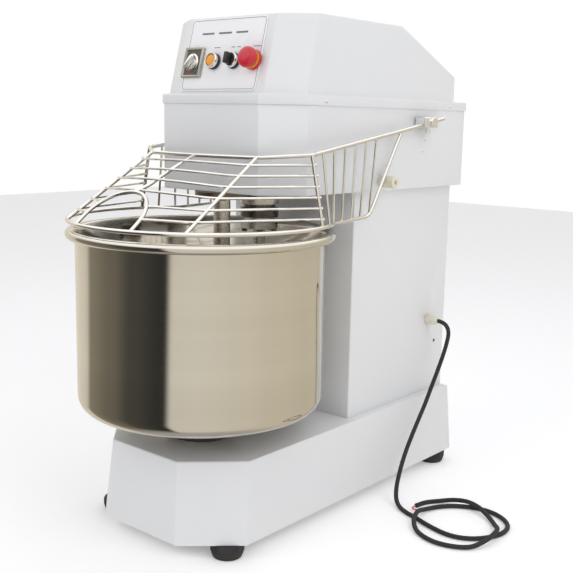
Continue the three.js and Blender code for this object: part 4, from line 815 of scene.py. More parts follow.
# ---- body -------------------------------------------------------------------------------------
@dataclass
class Cabinet:
    """The painted body: base, column, head, cover, rear panel, feet and screws.

    Attributes:
        bend: the rounding where panels meet.
        edge: the rounding of cut edges.
        screw_radius: a cover screw's head.
        flange_screws: places along the cover's skirt, (y from the bowl's axis, z).
        head_screws: places on the head's sides.
        earth_screw: its place on the column's right side.
    """

    bend: float = 0.0032
    edge: float = 0.0006
    screw_radius: float = 0.0036
    flange_screws: tuple[tuple[float, float], ...] = ((0.134, 0.8375), (0.579, 0.8375))
    head_screws: tuple[tuple[float, float], ...] = ((0.3445, 0.714), (0.488, 0.766), (0.477, 0.7425))
    earth_screw: tuple[float, float] = (0.599, 0.299)
    foot_profile: Profile = (
        (0.024, 0.0), (0.0275, 0.0008), (0.0295, 0.005), (0.0315, 0.012), (0.0322, 0.0135), (0.0315, 0.015),
        (0.0322, 0.0165), (0.0324, 0.024), (0.031, 0.0272), (0.0125, 0.0276), (0.0125, 0.0279),
    )

    def build(self) -> None:
        """Builds and dresses the body."""
        for node in ("base_shell", "column_shell", "head_shell", "top_cover"):
            shell = sheet_metal(node, f"{node}_folded", self.bend, self.edge)
            dress(shell, PAINT, Body.MACHINE, Slot.PAINT, node)
        panel = sheet_metal("rear_panel", "rear_panel_louvred", 0.0, 0.0004)
        dress(panel, PAINT, Body.MACHINE, Slot.PAINT, "rear_panel")
        self._feet()
        self._screws()

    def _feet(self) -> None:
        """Makes one foot and copies it to the four corners."""
        first = None
        for place in ("front_right", "front_left", "rear_right", "rear_left"):
            low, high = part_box(f"foot_{place}")
            at = Matrix.Translation(((low.x + high.x) / 2, (low.y + high.y) / 2, 0.0))
            if first is None:
                first = turned("foot_pattern", self.foot_profile, Matrix.Identity(4), 56)
            foot = copied(first, f"rubber_foot_{place}", at)
            dress(foot, RUBBER, Body.MACHINE, Slot.RUBBER, f"foot_{place}")
        bpy.data.objects.remove(first)

    def _screws(self) -> None:
        """Puts the small screws on the skirt, the head and the column."""
        pattern = self._screw_pattern()
        skirt_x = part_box("top_cover")[1].x
        head_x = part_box("head_shell")[1].x
        column_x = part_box("column_shell")[1].x
        places = [("skirt", skirt_x, y, z) for y, z in self.flange_screws]
        places += [("head", head_x, y, z) for y, z in self.head_screws]
        for number, (where, x, y, z) in enumerate(places):
            for side, direction, sign in (("right", Direction.RIGHT, 1), ("left", Direction.LEFT, -1)):
                at = facing(direction, tuple(on_machine(sign * x, y, z)))
                screw = copied(pattern, f"{where}_screw_{number}_{side}", at)
                dress(screw, PLATED, Body.MACHINE, Slot.BRIGHT_STEEL)
        at = facing(Direction.RIGHT, tuple(on_machine(column_x, *self.earth_screw)))
        earth = copied(pattern, "earth_screw", at)
        dress(earth, BROWN_STEEL, Body.MACHINE, Slot.DARK_STEEL)
        low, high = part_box("rear_panel")
        for row, z in enumerate((low.z + 0.012, high.z - 0.012)):
            for column, x in enumerate((low.x + 0.012, high.x - 0.012)):
                screw = copied(pattern, f"panel_screw_{row}_{column}", facing(Direction.BACK, (x, high.y, z)))
                dress(screw, PLATED, Body.MACHINE, Slot.BRIGHT_STEEL)
        bpy.data.objects.remove(pattern)

    def _screw_pattern(self) -> bpy.types.Object:
        """Makes a pan-head screw with a slot.

        Returns:
            The pattern, standing at the origin.
        """
        r = self.screw_radius
        profile = [(r, -0.0004), (r, 0.0005), *arc((0.0, 0.0005), r, 15, 80, 5)]
        flat = [(radius, height * 0.55) for radius, height in profile]
        head = turned("screw_pattern", flat, Matrix.Identity(4), 20)
        slot = block("slot", (2.4 * r, 0.0008, 0.0012), Matrix.Translation((0.0, 0.0, 0.0022)), 0.0001, 1)
        cut = head.modifiers.new("slot", "BOOLEAN")
        cut.object = slot
        cut.operation = "DIFFERENCE"
        cut.solver = "EXACT"
        only(head)
        bpy.ops.object.modifier_apply(modifier=cut.name)
        bpy.data.objects.remove(slot)
        return head


# ---- bowl -------------------------------------------------------------------------------------
@dataclass
class Bowl:
    """The turning bowl with its curled rim, and the seat under it."""

    radius: float = 0.241
    wall: float = 0.002
    corner: float = 0.030
    bottom: float = 0.244
    rim_z: float = 0.586
    rim_tube: float = 0.009
    segments: int = 144

    def profile(self) -> list[tuple[float, float]]:
        """Returns the wall's outline, up the outside, over the rim and down the inside."""
        corner = (self.radius - self.corner, self.bottom + self.corner)
        curl = (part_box("bowl")[1].x - self.rim_tube, self.rim_z)
        inside = self.radius - self.wall
        return [
            (0.06, self.bottom),
            *arc(corner, self.corner, -90, 0, 10),
            (self.radius, self.rim_z - 0.004),
            *arc(curl, self.rim_tube - self.wall, 172, -120, 14),
            *arc(curl, self.rim_tube, -120, 165, 18),
            (inside, self.rim_z - 0.004),
            *arc(corner, self.corner - self.wall, 0, -90, 10),
            (0.06, self.bottom + self.wall),
        ]

    def build(self) -> None:
        """Builds and dresses the bowl and its seat."""
        axis = Matrix.Translation((0.0, BOWL_AXIS_Y, 0.0))
        bowl = turned("steel_bowl", self.profile(), axis, self.segments)
        dress(bowl, BOWL_STEEL, Body.BOWL, Slot.STAINLESS, "bowl")
        low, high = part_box("bowl_shaft")
        radius = (high.x - low.x) / 2 + 0.0008
        flange = turned(
            "bowl_flange",
            [(radius - 0.002, 0.2096), (radius, 0.2110), (radius, high.z - 0.012),
             (radius - 0.01, high.z - 0.004),
             (radius - 0.01, high.z)],
            axis, 64,
        )
        dress(flange, BROWN_STEEL, Body.BOWL, Slot.DARK_STEEL)
        low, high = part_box("bowl_housing")
        seat_radius = (high.x - low.x) / 2 + 0.001
        seat = turned(
            "bowl_seat",
            [(seat_radius, 0.1848), (seat_radius, high.z - 0.006),
             *arc((seat_radius - 0.005, high.z - 0.005), 0.005,
                                                                       10, 90, 5),
             (seat_radius - 0.03, high.z)],
            axis, 64,
        )
        dress(seat, IRON, Body.MACHINE, Slot.CAST_IRON)


# ---- mixing tools -----------------------------------------------------------------------------
@dataclass
class Tools:
    """The spiral hook on its spindle, and the fixed breaker bar.

    Attributes:
        bar: the hook's bar radius.
        sweep: how far it swings out.
        turns: turns of the spiral.
        top: where the bar leaves its disc.
        bottom: the bar's lowest middle.
        straight: the share of the path that is straight, at its top.
        growth: the share of the spiral over which it swings out.
        closing: where on the spiral it starts to close in, and over what share.
        drawn_in: how far its end closes in, as a share of the sweep.
        wave: how much the fall eases in and out.
        steps: points along the path.
        hook_bolt: one of the disc's bolt heads, as an outline.
        flange_bolt: one of the breaker flange's bolt heads.
    """

    bar: float = 0.0125
    sweep: float = 0.056
    turns: float = 1.6
    top: float = 0.583
    bottom: float = 0.2725
    straight: float = 0.16
    growth: float = 0.4
    closing: tuple[float, float] = (0.86, 0.14)
    drawn_in: float = 0.3
    wave: float = 0.06
    steps: int = 150
    hook_bolts_radius: float = 0.0305
    hook_bolts_z: float = 0.5752
    hook_bolt: Profile = ((0.005, 0.0), (0.0058, 0.0008), (0.0058, 0.0062))
    breaker_radius: float = 0.0165
    flange_bolts_radius: float = 0.040
    flange_bolt_drop: float = 0.0055
    flange_bolt: Profile = ((0.0055, 0.0), (0.0064, 0.0008), (0.0064, 0.0056))

    def hook_path(self) -> list[Vector]:
        """Returns the hook bar's middle line."""
        path = []
        fall = self.top - self.bottom
        for i in range(self.steps + 1):
            share = i / self.steps
            wound = max(0.0, (share - self.straight) / (1 - self.straight))
            grown = min(1.0, wound / self.growth)
            closing = max(0.0, (wound - self.closing[0]) / self.closing[1])
            radius = self.sweep * (grown**2 * (3 - 2 * grown)) * (1 - self.drawn_in * closing**2)
            angle = 2 * math.pi * self.turns * wound
            dropped = self.straight + (1 - self.straight) * (wound + self.wave * math.sin(math.pi * wound))
            z = self.top - fall * (dropped if wound > 0 else share)
            path.append(Vector((radius * math.cos(angle), SPINDLE_Y + radius * math.sin(angle), z)))
        return path

    def build(self) -> None:
        """Builds and dresses the tools."""
        axis = Matrix.Translation((0.0, SPINDLE_Y, 0.0))
        nose_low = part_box("spindle_housing")[0].z
        nose = turned(
            "spindle_nose",
            [(0.034, nose_low), (0.0395, nose_low + 0.0006), (0.0405, nose_low + 0.0016),
             (0.0405, nose_low + 0.012),
             (0.0395, nose_low + 0.0132), (0.037, nose_low + 0.0145), (0.0365, nose_low + 0.016),
             (0.0365, 0.6625)],
            axis, 64,
        )
        dress(nose, TOOL_STEEL, Body.MACHINE, Slot.STAINLESS)
        hub_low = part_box("spindle")[0].z
        hub = turned(
            "spindle_hub",
            [(0.030, hub_low), (0.038, hub_low + 0.0006), (0.0393, hub_low + 0.002),
             (0.0393, hub_low + 0.0172),
             (0.038, hub_low + 0.019), (0.033, hub_low + 0.0196), (0.033, nose_low - 0.0012)],
            axis, 64,
        )
        dress(hub, BLUED_STEEL, Body.HOOK, Slot.DARK_STEEL)
        disc = turned(
            "hook_disc",
            [(0.028, 0.5812), (0.0368, 0.5818), (0.0382, 0.5835), (0.0382, 0.5965), (0.037, 0.5982),
             (0.0305, 0.5986),
             (0.0305, hub_low - 0.0006)],
            axis, 64,
        )
        bar = tube("hook_bar", self.hook_path(), self.bar, 8)
        bolts = bolt_circle("hook_bolts", (0.0, SPINDLE_Y, self.hook_bolts_z), self.hook_bolts_radius,
                            self.hook_bolt)
        hook = joined("spiral_hook", [bar, disc])
        dress(hook, TOOL_STEEL, Body.HOOK, Slot.STAINLESS, "hook")
        dress(bolts, BROWN_STEEL, Body.HOOK, Slot.DARK_STEEL)
        self._breaker()

    def _breaker(self) -> None:
        """Builds the breaker bar and its bolted flange."""
        low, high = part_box("breaker_bar")
        axis = Matrix.Translation((0.0, (low.y + high.y) / 2, 0.0))
        radius = self.breaker_radius
        bar = turned(
            "breaker_bar_round",
            [*arc((radius - 0.005, low.z + 0.005), 0.005, -85, 0, 6), (radius, high.z - 0.0002)],
            axis, 48,
        )
        dress(bar, TOOL_STEEL, Body.MACHINE, Slot.STAINLESS, "breaker_bar")
        low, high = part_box("breaker_bar_flange")
        edge = (high.x - low.x) / 2
        flange = turned(
            "breaker_flange_turned",
            [(0.017, low.z), (edge - 0.001, low.z), (edge, low.z + 0.001), (edge, high.z), (0.017, high.z),
             (0.017, low.z)],
            axis, 72, hollow=True,
        )
        dress(flange, BROWN_STEEL, Body.MACHINE, Slot.DARK_STEEL, "breaker_bar_flange")
        bolts = bolt_circle(
            "flange_bolts", (0.0, (low.y + high.y) / 2, low.z - self.flange_bolt_drop),
            self.flange_bolts_radius,
            self.flange_bolt,
        )
        dress(bolts, BROWN_STEEL, Body.MACHINE, Slot.DARK_STEEL)


# ---- guard ------------------------------------------------------------------------------------
@dataclass
class Guard:
    """The hinged wire guard. Places are from the middle plane, the bowl's axis and the floor.

    Attributes:
        ring: the ring's radius.
        thick: the ring and top rod's radius.
        rib: a rib's radius.
        wire: a cross wire's radius.
        arm: an arm's radius.
        arm_gap: how far from the corner an arm starts.
        bow: how far the top rod bows forward.
        ring_arc: the ring's sweep without the ribs' share, in degrees.
        first_wire: the first cross wire's share of the way down.
        wire_step: the share between two cross wires.
        stopped: how many cross wires stop at the arch.
        arch: the feed arch's half width.
        dome: how far the grille's middle bulges.
        proud: how far a cross wire stands off the ribs.
        proud_way: which way it stands off.
        stub: how far it runs past the edge rib.
        upright_top: the uprights' first place and step along the arm.
        upright_foot: the same along the ring and the lower rod.
    """

    ring: float = 0.254
    ring_z: float = 0.6115
    thick: float = 0.004
    rib: float = 0.0035
    wire: float = 0.0024
    arm: float = 0.0045
    arm_gap: float = 0.0095
    corner: Place = (0.219, 0.060, 0.741)
    front_top: Place = (0.140, -0.002, 0.734)
    bow: float = 0.018
    junction: Place = (0.205, 0.369, 0.785)
    tail: Place = (0.205, 0.530, 0.812)
    side_low: Place = (0.205, 0.264, 0.616)
    ring_end: float = 32.6
    ring_arc: float = 184
    ring_steps: int = 90
    edge_rib: float = 14.0
    front_rib: float = -51.0
    first_wire: float = 0.137
    wire_step: float = 0.149
    wires: int = 6
    stopped: int = 2
    arch: float = 0.074
    apex: tuple[float, float] = (-0.169, 0.671)
    dome: float = 0.008
    proud: float = 0.0045
    proud_way: Place = (0.0, -0.45, 0.9)
    stub: float = 0.006
    uprights: int = 6
    upright_top: tuple[float, float] = (0.094, 0.036)
    upright_foot: tuple[float, float] = (0.098, 0.033)

    def on_ring(self, degrees: float) -> Vector:
        """Returns a point of the ring."""
        angle = math.radians(degrees)
        return on_machine(self.ring * math.cos(angle), self.ring * math.sin(angle), self.ring_z)

    def middle(self, share: float) -> Vector:
        """Returns a point of the grille's middle line, from its top (0) to the ring (1)."""
        top = on_machine(0.0, self.front_top[1] - self.bow, self.front_top[2])
        point = top.lerp(self.on_ring(-90), share)
        point.z += self.dome * math.sin(math.pi * share)
        return point

    def _arch_foot(self) -> Vector:
        """Returns where the arch's right leg stands on the ring."""
        return on_machine(self.arch, -math.sqrt(self.ring**2 - self.arch**2), self.ring_z)

    def arch_path(self) -> list[Vector]:
        """Returns the feed arch: two short legs and a half circle in a sloping plane."""
        foot = self._arch_foot()
        rise = on_machine(self.arch, *self.apex) - foot
        height = rise.length
        outline = [(self.arch, 0.0), *arc((0.0, height - self.arch), self.arch, 0, 180, 24),
                   (-self.arch, 0.0)]
        base = Vector((0.0, foot.y, foot.z))
        return [Vector((x, 0.0, 0.0)) + base + rise * (up / height) for x, up in outline]

    def build(self) -> None:
        """Builds and dresses the guard."""
        front = joined("guard_front_rods", self._front_rods())
        dress(front, ROD_STEEL, Body.GUARD, Slot.STAINLESS, "guard_front")
        side = joined("guard_side_rods_right", self._side_rods())
        other = mirrored(side, "guard_side_rods_left")
        dress(side, ROD_STEEL, Body.GUARD, Slot.STAINLESS, "guard_side_right")
        dress(other, ROD_STEEL, Body.GUARD, Slot.STAINLESS, "guard_side_left")
        corner, junction, tail = (on_machine(*p) for p in (self.corner, self.junction, self.tail))
        start = corner + (junction - corner).normalized() * self.arm_gap
        arm = tube("guard_arm_rod_right", rounded([start, junction, tail], 0.02), self.arm, 4)
        other = mirrored(arm, "guard_arm_rod_left")
        dress(arm, ROD_STEEL, Body.GUARD, Slot.STAINLESS, "guard_arm_right")
        dress(other, ROD_STEEL, Body.GUARD, Slot.STAINLESS, "guard_arm_left")
        self._hinge()

    def _front_rods(self) -> list[bpy.types.Object]:
        """Returns the front grille's rods."""
        corner, junction = on_machine(*self.corner), on_machine(*self.junction)
        top = on_machine(*self.front_top)
        edge_low, rib_low = self.on_ring(self.edge_rib), self.on_ring(self.front_rib)
        crown = self.middle(0)
        half_bow = Vector((top.x / 2, crown.y + (top.y - crown.y) * 0.22, top.z))
        half = [corner + (junction - corner).normalized() * self.arm_gap, corner, top, half_bow]
        rods = [tube("top_rod", rounded([*half, crown, *reversed(flipped(half))], 0.016, 8), self.thick, 4)]
        for low, high in ((rib_low, top), (edge_low, corner)):
            rods.append(tube("rib", [high, low], self.rib, 4))
            rods.append(tube("rib", flipped([high, low]), self.rib, 4))
        spine = [self.middle(share) for share in (0.0, 0.1, 0.2, 0.3, 0.4, 0.48)]
        rods.append(tube("spine", smooth_route([*spine, on_machine(0.0, *self.apex)], 5), self.rib, 4))
        rods.append(tube("arch", self.arch_path(), self.rib, 4))
        sweep = self.ring_arc + 2 * self.edge_rib
        shares = [i / self.ring_steps for i in range(self.ring_steps + 1)]
        ring = [self.on_ring(self.edge_rib + 2 - sweep * share) for share in shares]
        rods.append(tube("ring", ring, self.thick, 4))
        for number in range(self.wires):
            rods += self._wire(number, corner, edge_low, top, rib_low)
        return rods

    def _wire(
        self, number: int, corner: Vector, edge_low: Vector, top: Vector, rib_low: Vector,
    ) -> list[bpy.types.Object]:
        """Bends one cross wire over the ribs.

        Args:
            number: which wire, from the top.
            corner: the edge rib's upper end.
            edge_low: its lower end.
            top: the front rib's upper end.
            rib_low: its lower end.

        Returns:
            One rod right across, or two that stop at the arch.
        """
        share = self.first_wire + self.wire_step * number
        lift = Vector(self.proud_way) * self.proud
        edge = corner.lerp(edge_low, share)
        front = top.lerp(rib_low, share) + lift
        middle = self.middle(share) + lift
        edge = edge + (edge - front).normalized() * self.stub
        if number < self.wires - self.stopped:
            half_bow = middle.lerp(front, 0.28)
            half_bow.x = front.x / 2
            half = [edge, front, half_bow]
            path = rounded([*half, middle, *reversed(flipped(half))], 0.03, 8)
            return [tube("wire", path, self.wire, 3)]
        reach = (self.arch - 0.001) / front.x
        foot = self._arch_foot()
        rise = on_machine(self.arch, *self.apex) - foot
        z = middle.z + (front.z - middle.z) * reach
        climb = (z - foot.z) / rise.z
        above = max(0.0, climb * rise.length - (rise.length - self.arch))
        stop = Vector((math.sqrt(self.arch**2 - above**2), foot.y + rise.y * climb, z))
        path = rounded([edge, front, stop], 0.02, 8)
        return [tube("wire", path, self.wire, 3), tube("wire", flipped(path), self.wire, 3)]

    def _side_rods(self) -> list[bpy.types.Object]:
        """Returns the right side's lower rod and its upright wires."""
        corner, junction, low = (on_machine(*p) for p in (self.corner, self.junction, self.side_low))
        end = self.on_ring(self.ring_end)
        steps = 12
        last = self.edge_rib + 2.0
        ring = [self.on_ring(self.ring_end + (last - self.ring_end) * i / steps) for i in range(steps + 1)]
        rods = [tube("lower_rod", [*rounded([junction, low, end], 0.020, 8)[:-1], *ring], self.thick, 4)]
        for i in range(self.uprights):
            along = self.upright_top[0] + self.upright_top[1] * i - self.corner[1]
            high = corner.lerp(junction, along / (self.junction[1] - self.corner[1]))
            y = self.upright_foot[0] + self.upright_foot[1] * i
            end_y = end.y - BOWL_AXIS_Y
            if y > end_y:
                foot = end.lerp(low, (y - end_y) / (self.side_low[1] - end_y))
            else:
                foot = on_machine(math.sqrt(self.ring**2 - y**2), y, self.ring_z)
            rods.append(tube("upright", [high, foot], self.wire, 3))
        return rods

    def _hinge(self) -> None:
        """Builds the hinge blocks, their clamp screws and the bumpers."""
        for side, sign in (("right", 1), ("left", -1)):
            low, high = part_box(f"guard_block_{side}")
            middle, size = (low + high) / 2, high - low
            block_piece = block(f"hinge_block_{side}", tuple(size), Matrix.Translation(middle), 0.0024, 4)
            direction = Direction.RIGHT if sign > 0 else Direction.LEFT
            outer = high.x if sign > 0 else low.x
            boss = turned(
                f"hinge_boss_{side}",
                [(0.0105, -0.001), (0.0105, 0.003), *arc((0.0085, 0.003), 0.002, 0, 80, 4)],
                facing(direction, (outer, middle.y + 0.004, middle.z + 0.001)), 36,
            )
            dress(joined(f"hinge_block_bossed_{side}", [block_piece, boss]), PLATED, Body.GUARD,
                  Slot.BRIGHT_STEEL, f"guard_block_{side}")
            low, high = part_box(f"guard_clamp_screw_{side}")
            at = Matrix.Translation(((low.x + high.x) / 2, (low.y + high.y) / 2, low.z))
            screw = turned(
                f"clamp_screw_{side}", [(0.0042, 0.0), (0.005, 0.0008), (0.005, 0.0062), (0.003, 0.0068),
                                        (0.003, high.z - low.z)], at, 6,
            )
            dress(screw, PLATED, Body.GUARD, Slot.DARK_STEEL, f"guard_clamp_screw_{side}")
            self._bumper(side, direction)

    def _bumper(self, side: str, direction: Direction) -> None:
        """Builds one nylon bumper on the head's side."""
        low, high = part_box(f"bumper_{side}")
        start = low.x if direction is Direction.RIGHT else high.x
        length = high.x - low.x
        radius = (high.z - low.z) / 2
        piece = turned(
            f"nylon_bumper_{side}",
            [(radius, 0.0), (radius, length * 0.45), (radius - 0.0004, length * 0.46),
             (radius, length * 0.47),
             *arc((radius - 0.002, length - 0.002), 0.002, 0, 90, 4), (0.0055, length),
             (0.005, length - 0.0006),
             (0.0045, length - 0.007)],
            facing(direction, (start, (low.y + high.y) / 2, (low.z + high.z) / 2)), 40,
        )
        dress(piece, CREAM, Body.MACHINE, Slot.CREAM_PLASTIC, f"bumper_{side}")


# ---- controls ---------------------------------------------------------------------------------
@dataclass
class ControlPanel:
    """The sloping panel's label and controls. Places are (x, up the slope, out of it)."""

    foot: tuple[float, float] = (0.0383, 0.8488)
    head: tuple[float, float] = (0.0765, 0.9964)
    row: float = 0.0625
    timer: tuple[float, float] = (-0.0767, 0.061)
    button_x: float = -0.0205
    selector_x: float = 0.0315
    stop_x: float = 0.0835
    face: float = 0.0023
    collar_out: float = 0.0003
    actuator_out: float = 0.0072
    collar: Profile = (
        (0.0122, 0.0), (0.0150, 0.0), (0.0155, 0.0006), (0.0155, 0.0052), (0.0148, 0.006), (0.0122, 0.006),
        (0.0122, 0.0),
    )
    bezel: Profile = (
        (0.0120, 0.0), (0.0145, 0.0), (0.01475, 0.0004), (0.01475, 0.0042), (0.0140, 0.0062), (0.0131, 0.007),
        (0.0122, 0.0068), (0.0120, 0.006), (0.0120, 0.0),
    )

    def place(self, x: float, up: float, out: float) -> Matrix:
        """Returns the placement of a piece that stands out of the panel."""
        slope = Vector((0.0, self.head[0] - self.foot[0], self.head[1] - self.foot[1])).normalized()
        across = Vector((1.0, 0.0, 0.0))
        normal = across.cross(slope)
        turn = Matrix((across, slope, normal)).transposed().to_4x4()
        origin = on_machine(0.0, *self.foot)
        return Matrix.Translation(origin + across * x + slope * up + normal * out) @ turn

    def build(self) -> None:
        """Builds and dresses the label and every control."""
        label = sheet_metal("label_plate", "label_card", 0.0, 0.0003)
        dress(label, FILM, Body.MACHINE, Slot.LABEL_FILM, "label_plate")
        self._print()
        self._timer()
        self._button()
        self._selector()
        self._stop()

    def _print(self) -> None:
        """Lays the label's border and its plain bars."""
        x0, x1, low, high, corner = -0.0985, 0.0945, 0.0090, 0.1460, 0.006
        outline = [
            *arc((x1 - corner, low + corner), corner, -90, 0, 6),
            *arc((x1 - corner, high - corner), corner, 0, 90, 6),
            *arc((x0 + corner, high - corner), corner, 90, 180, 6),
            *arc((x0 + corner, low + corner), corner, 180, 270, 6),
        ]
        outline.append(outline[0])
        matrix = self.place(0.0, 0.0, self.face - 0.0002)
        border = tube("label_border", [matrix @ Vector((x, y, 0.0)) for x, y in outline], 0.0004, 1)
        dress(border, PRINT, Body.MACHINE, Slot.LABEL_FILM)
        bars = [(-0.052, 0.119, 0.032), (-0.006, 0.119, 0.034), (0.038, 0.119, 0.030)]
        bars += [(-0.0205, 0.0905, 0.016), (0.022, 0.0905, 0.009), (0.037, 0.0905, 0.010),
                 (0.0835, 0.0905, 0.020)]
        made = []
        for x, up, width in bars:
            height = 0.0034 if up > 0.1 else 0.0013
            made.append(block("bar", (width, height, 0.0003), self.place(x, up, self.face), 0.0001, 1))
        dress(joined("label_bars", made), PRINT, Body.MACHINE, Slot.LABEL_FILM)

    def _timer(self) -> None:
        """Builds the timer's frame, face, dial and bar knob."""
        x, up = self.timer
        frame_piece = sheet_metal("timer_plate", "timer_frame", 0.0, 0.0008)
        dress(frame_piece, TIMER_METAL, Body.MACHINE, Slot.TIMER_FRAME, "timer_plate")
        face_out = self.face + 0.0045
        face = turned("timer_face", [(0.0195, -0.0004), (0.0195, 0.0002), (0.006, 0.0002), (0.006, -0.0004),
                                     (0.0195, -0.0004)], self.place(x, up, face_out), 48, hollow=True)
        card = block("timer_card", (0.039, 0.049, 0.0004), self.place(x, up, self.face + 0.0042), 0.0001, 1)
        dress(joined("timer_faces", [card, face]), TIMER_FACE, Body.MACHINE, Slot.TIMER_FRAME)
        ticks = []
        for i in range(30):
            angle = math.radians(i * 10 - 60)
            long = 0.0018 if i % 5 == 0 else 0.001
            spot = self.place(x + 0.0185 * math.cos(angle), up + 0.0185 * math.sin(angle), face_out + 0.0003)
            turn = Matrix.Rotation(angle, 4, "Z")
            ticks.append(block("tick", (long, 0.0003, 0.0002), spot @ turn, 0.00005, 1))
        dress(joined("timer_ticks", ticks), FILM, Body.MACHINE, Slot.TIMER_FRAME)
        mark = block("timer_mark", (0.007, 0.0035, 0.0003), self.place(x, up - 0.0222, face_out), 0.0001, 1)
        dress(mark, RED_PRINT, Body.MACHINE, Slot.TIMER_FRAME)
        dial = turned(
            "dial",
            [(0.0168, 0.0), (0.0172, 0.0006), (0.0172, 0.0018), (0.0165, 0.0026), (0.0142, 0.0032),
             (0.0134, 0.0024),
             (0.0104, 0.0024), (0.0098, 0.0034), (0.006, 0.0036)],
            self.place(x, up, face_out + 0.0006), 64,
        )
        turn = Matrix.Rotation(0.9, 4, "Z")
        grip = block("grip", (0.030, 0.0085, 0.0105), self.place(x, up, face_out + 0.0085) @ turn, 0.0028, 5)
        dress(joined("timer_dial_knob", [dial, grip]), PLATED, Body.TIMER, Slot.BRIGHT_STEEL, "timer_knob")

    def _round(
        self, name: str, x: float, out: float, profile: Profile, segments: int, hollow: bool = False,
    ) -> bpy.types.Object:
        """Turns a piece that stands out of the panel on the row of controls.

        Args:
            name: the piece's name.
            x: its place across the panel.
            out: how far its foot is off the label.
            profile: its outline.
            segments: facets round it.
            hollow: True where the outline comes back to its start.

        Returns:
            The piece.
        """
        return turned(name, profile, self.place(x, self.row, self.face + out), segments, hollow)

    def _switch_rings(self, name: str, x: float) -> None:
        """Builds a switch's black collar and the bright bezel on it.

        Args:
            name: the switch's name.
            x: its place across the panel.
        """
        collar = self._round(f"{name}_collar_round", x, self.collar_out, self.collar, 56, True)
        dress(collar, BLACK, Body.MACHINE, Slot.BLACK_PLASTIC, f"{name}_collar")
        bezel = self._round(f"{name}_bezel_round", x, 0.0066, self.bezel, 56, True)
        dress(bezel, PLATED, Body.MACHINE, Slot.BRIGHT_STEEL, f"{name}_bezel")

    def _button(self) -> None:
        """Builds the push button."""
        self._switch_rings("button", self.button_x)
        lens = self._round(
            "button_lens", self.button_x, self.actuator_out,
            [(0.0113, 0.0), (0.0113, 0.0048), (0.0106, 0.0057), (0.0094, 0.0059), (0.0090, 0.0054),
             (0.004, 0.0057)],
            48,
        )
        dress(lens, ORANGE, Body.BUTTON, Slot.ORANGE_PLASTIC, "push_button")

    def _selector(self) -> None:
        """Builds the selector."""
        self._switch_rings("selector", self.selector_x)
        base = self._round(
            "selector_base", self.selector_x, self.actuator_out,
            [(0.0113, 0.0), (0.0113, 0.0062), (0.0105, 0.0072), (0.004, 0.0072)], 48,
        )
        grip = block(
            "selector_grip", (0.0085, 0.0215, 0.0145),
            self.place(self.selector_x, self.row, self.face + 0.0205),
            0.0019, 4,
        )
        dress(joined("selector_handle", [base, grip]), BLACK, Body.SELECTOR, Slot.BLACK_PLASTIC,
              "selector_knob")

    def _stop(self) -> None:
        """Builds the emergency stop."""
        collar = self._round(
            "stop_collar_round", self.stop_x, self.collar_out,
            [(0.0135, 0.0), (0.0178, 0.0), (0.0190, 0.0012), (0.0190, 0.0062), (0.0182, 0.007),
             (0.0135, 0.007),
             (0.0135, 0.0)],
            64, True,
        )
        dress(collar, RED, Body.MACHINE, Slot.RED_PLASTIC, "estop_collar")
        ring = self._round(
            "stop_ring", self.stop_x, 0.0075,
            [(0.0135, 0.0), (0.0172, 0.0), (0.0176, 0.0006), (0.0172, 0.0020), (0.0160, 0.0026),
             (0.0135, 0.0026),
             (0.0135, 0.0)],
            64, True,
        )
        dress(ring, YELLOW, Body.MACHINE, Slot.ORANGE_PLASTIC)
        head = self._round(
            "stop_head", self.stop_x, 0.0150,
            [(0.0128, -0.0085), (0.0128, -0.0012), (0.0140, 0.0), (0.0185, 0.0004), (0.0198, 0.0022),
             (0.0200, 0.0060),
             (0.0196, 0.0095), (0.0183, 0.0125), (0.0160, 0.0145), (0.0125, 0.0158), (0.008, 0.0164),
             (0.003, 0.0165)],
            64,
        )
        dress(head, RED, Body.STOP_HEAD, Slot.RED_PLASTIC, "estop_mushroom")


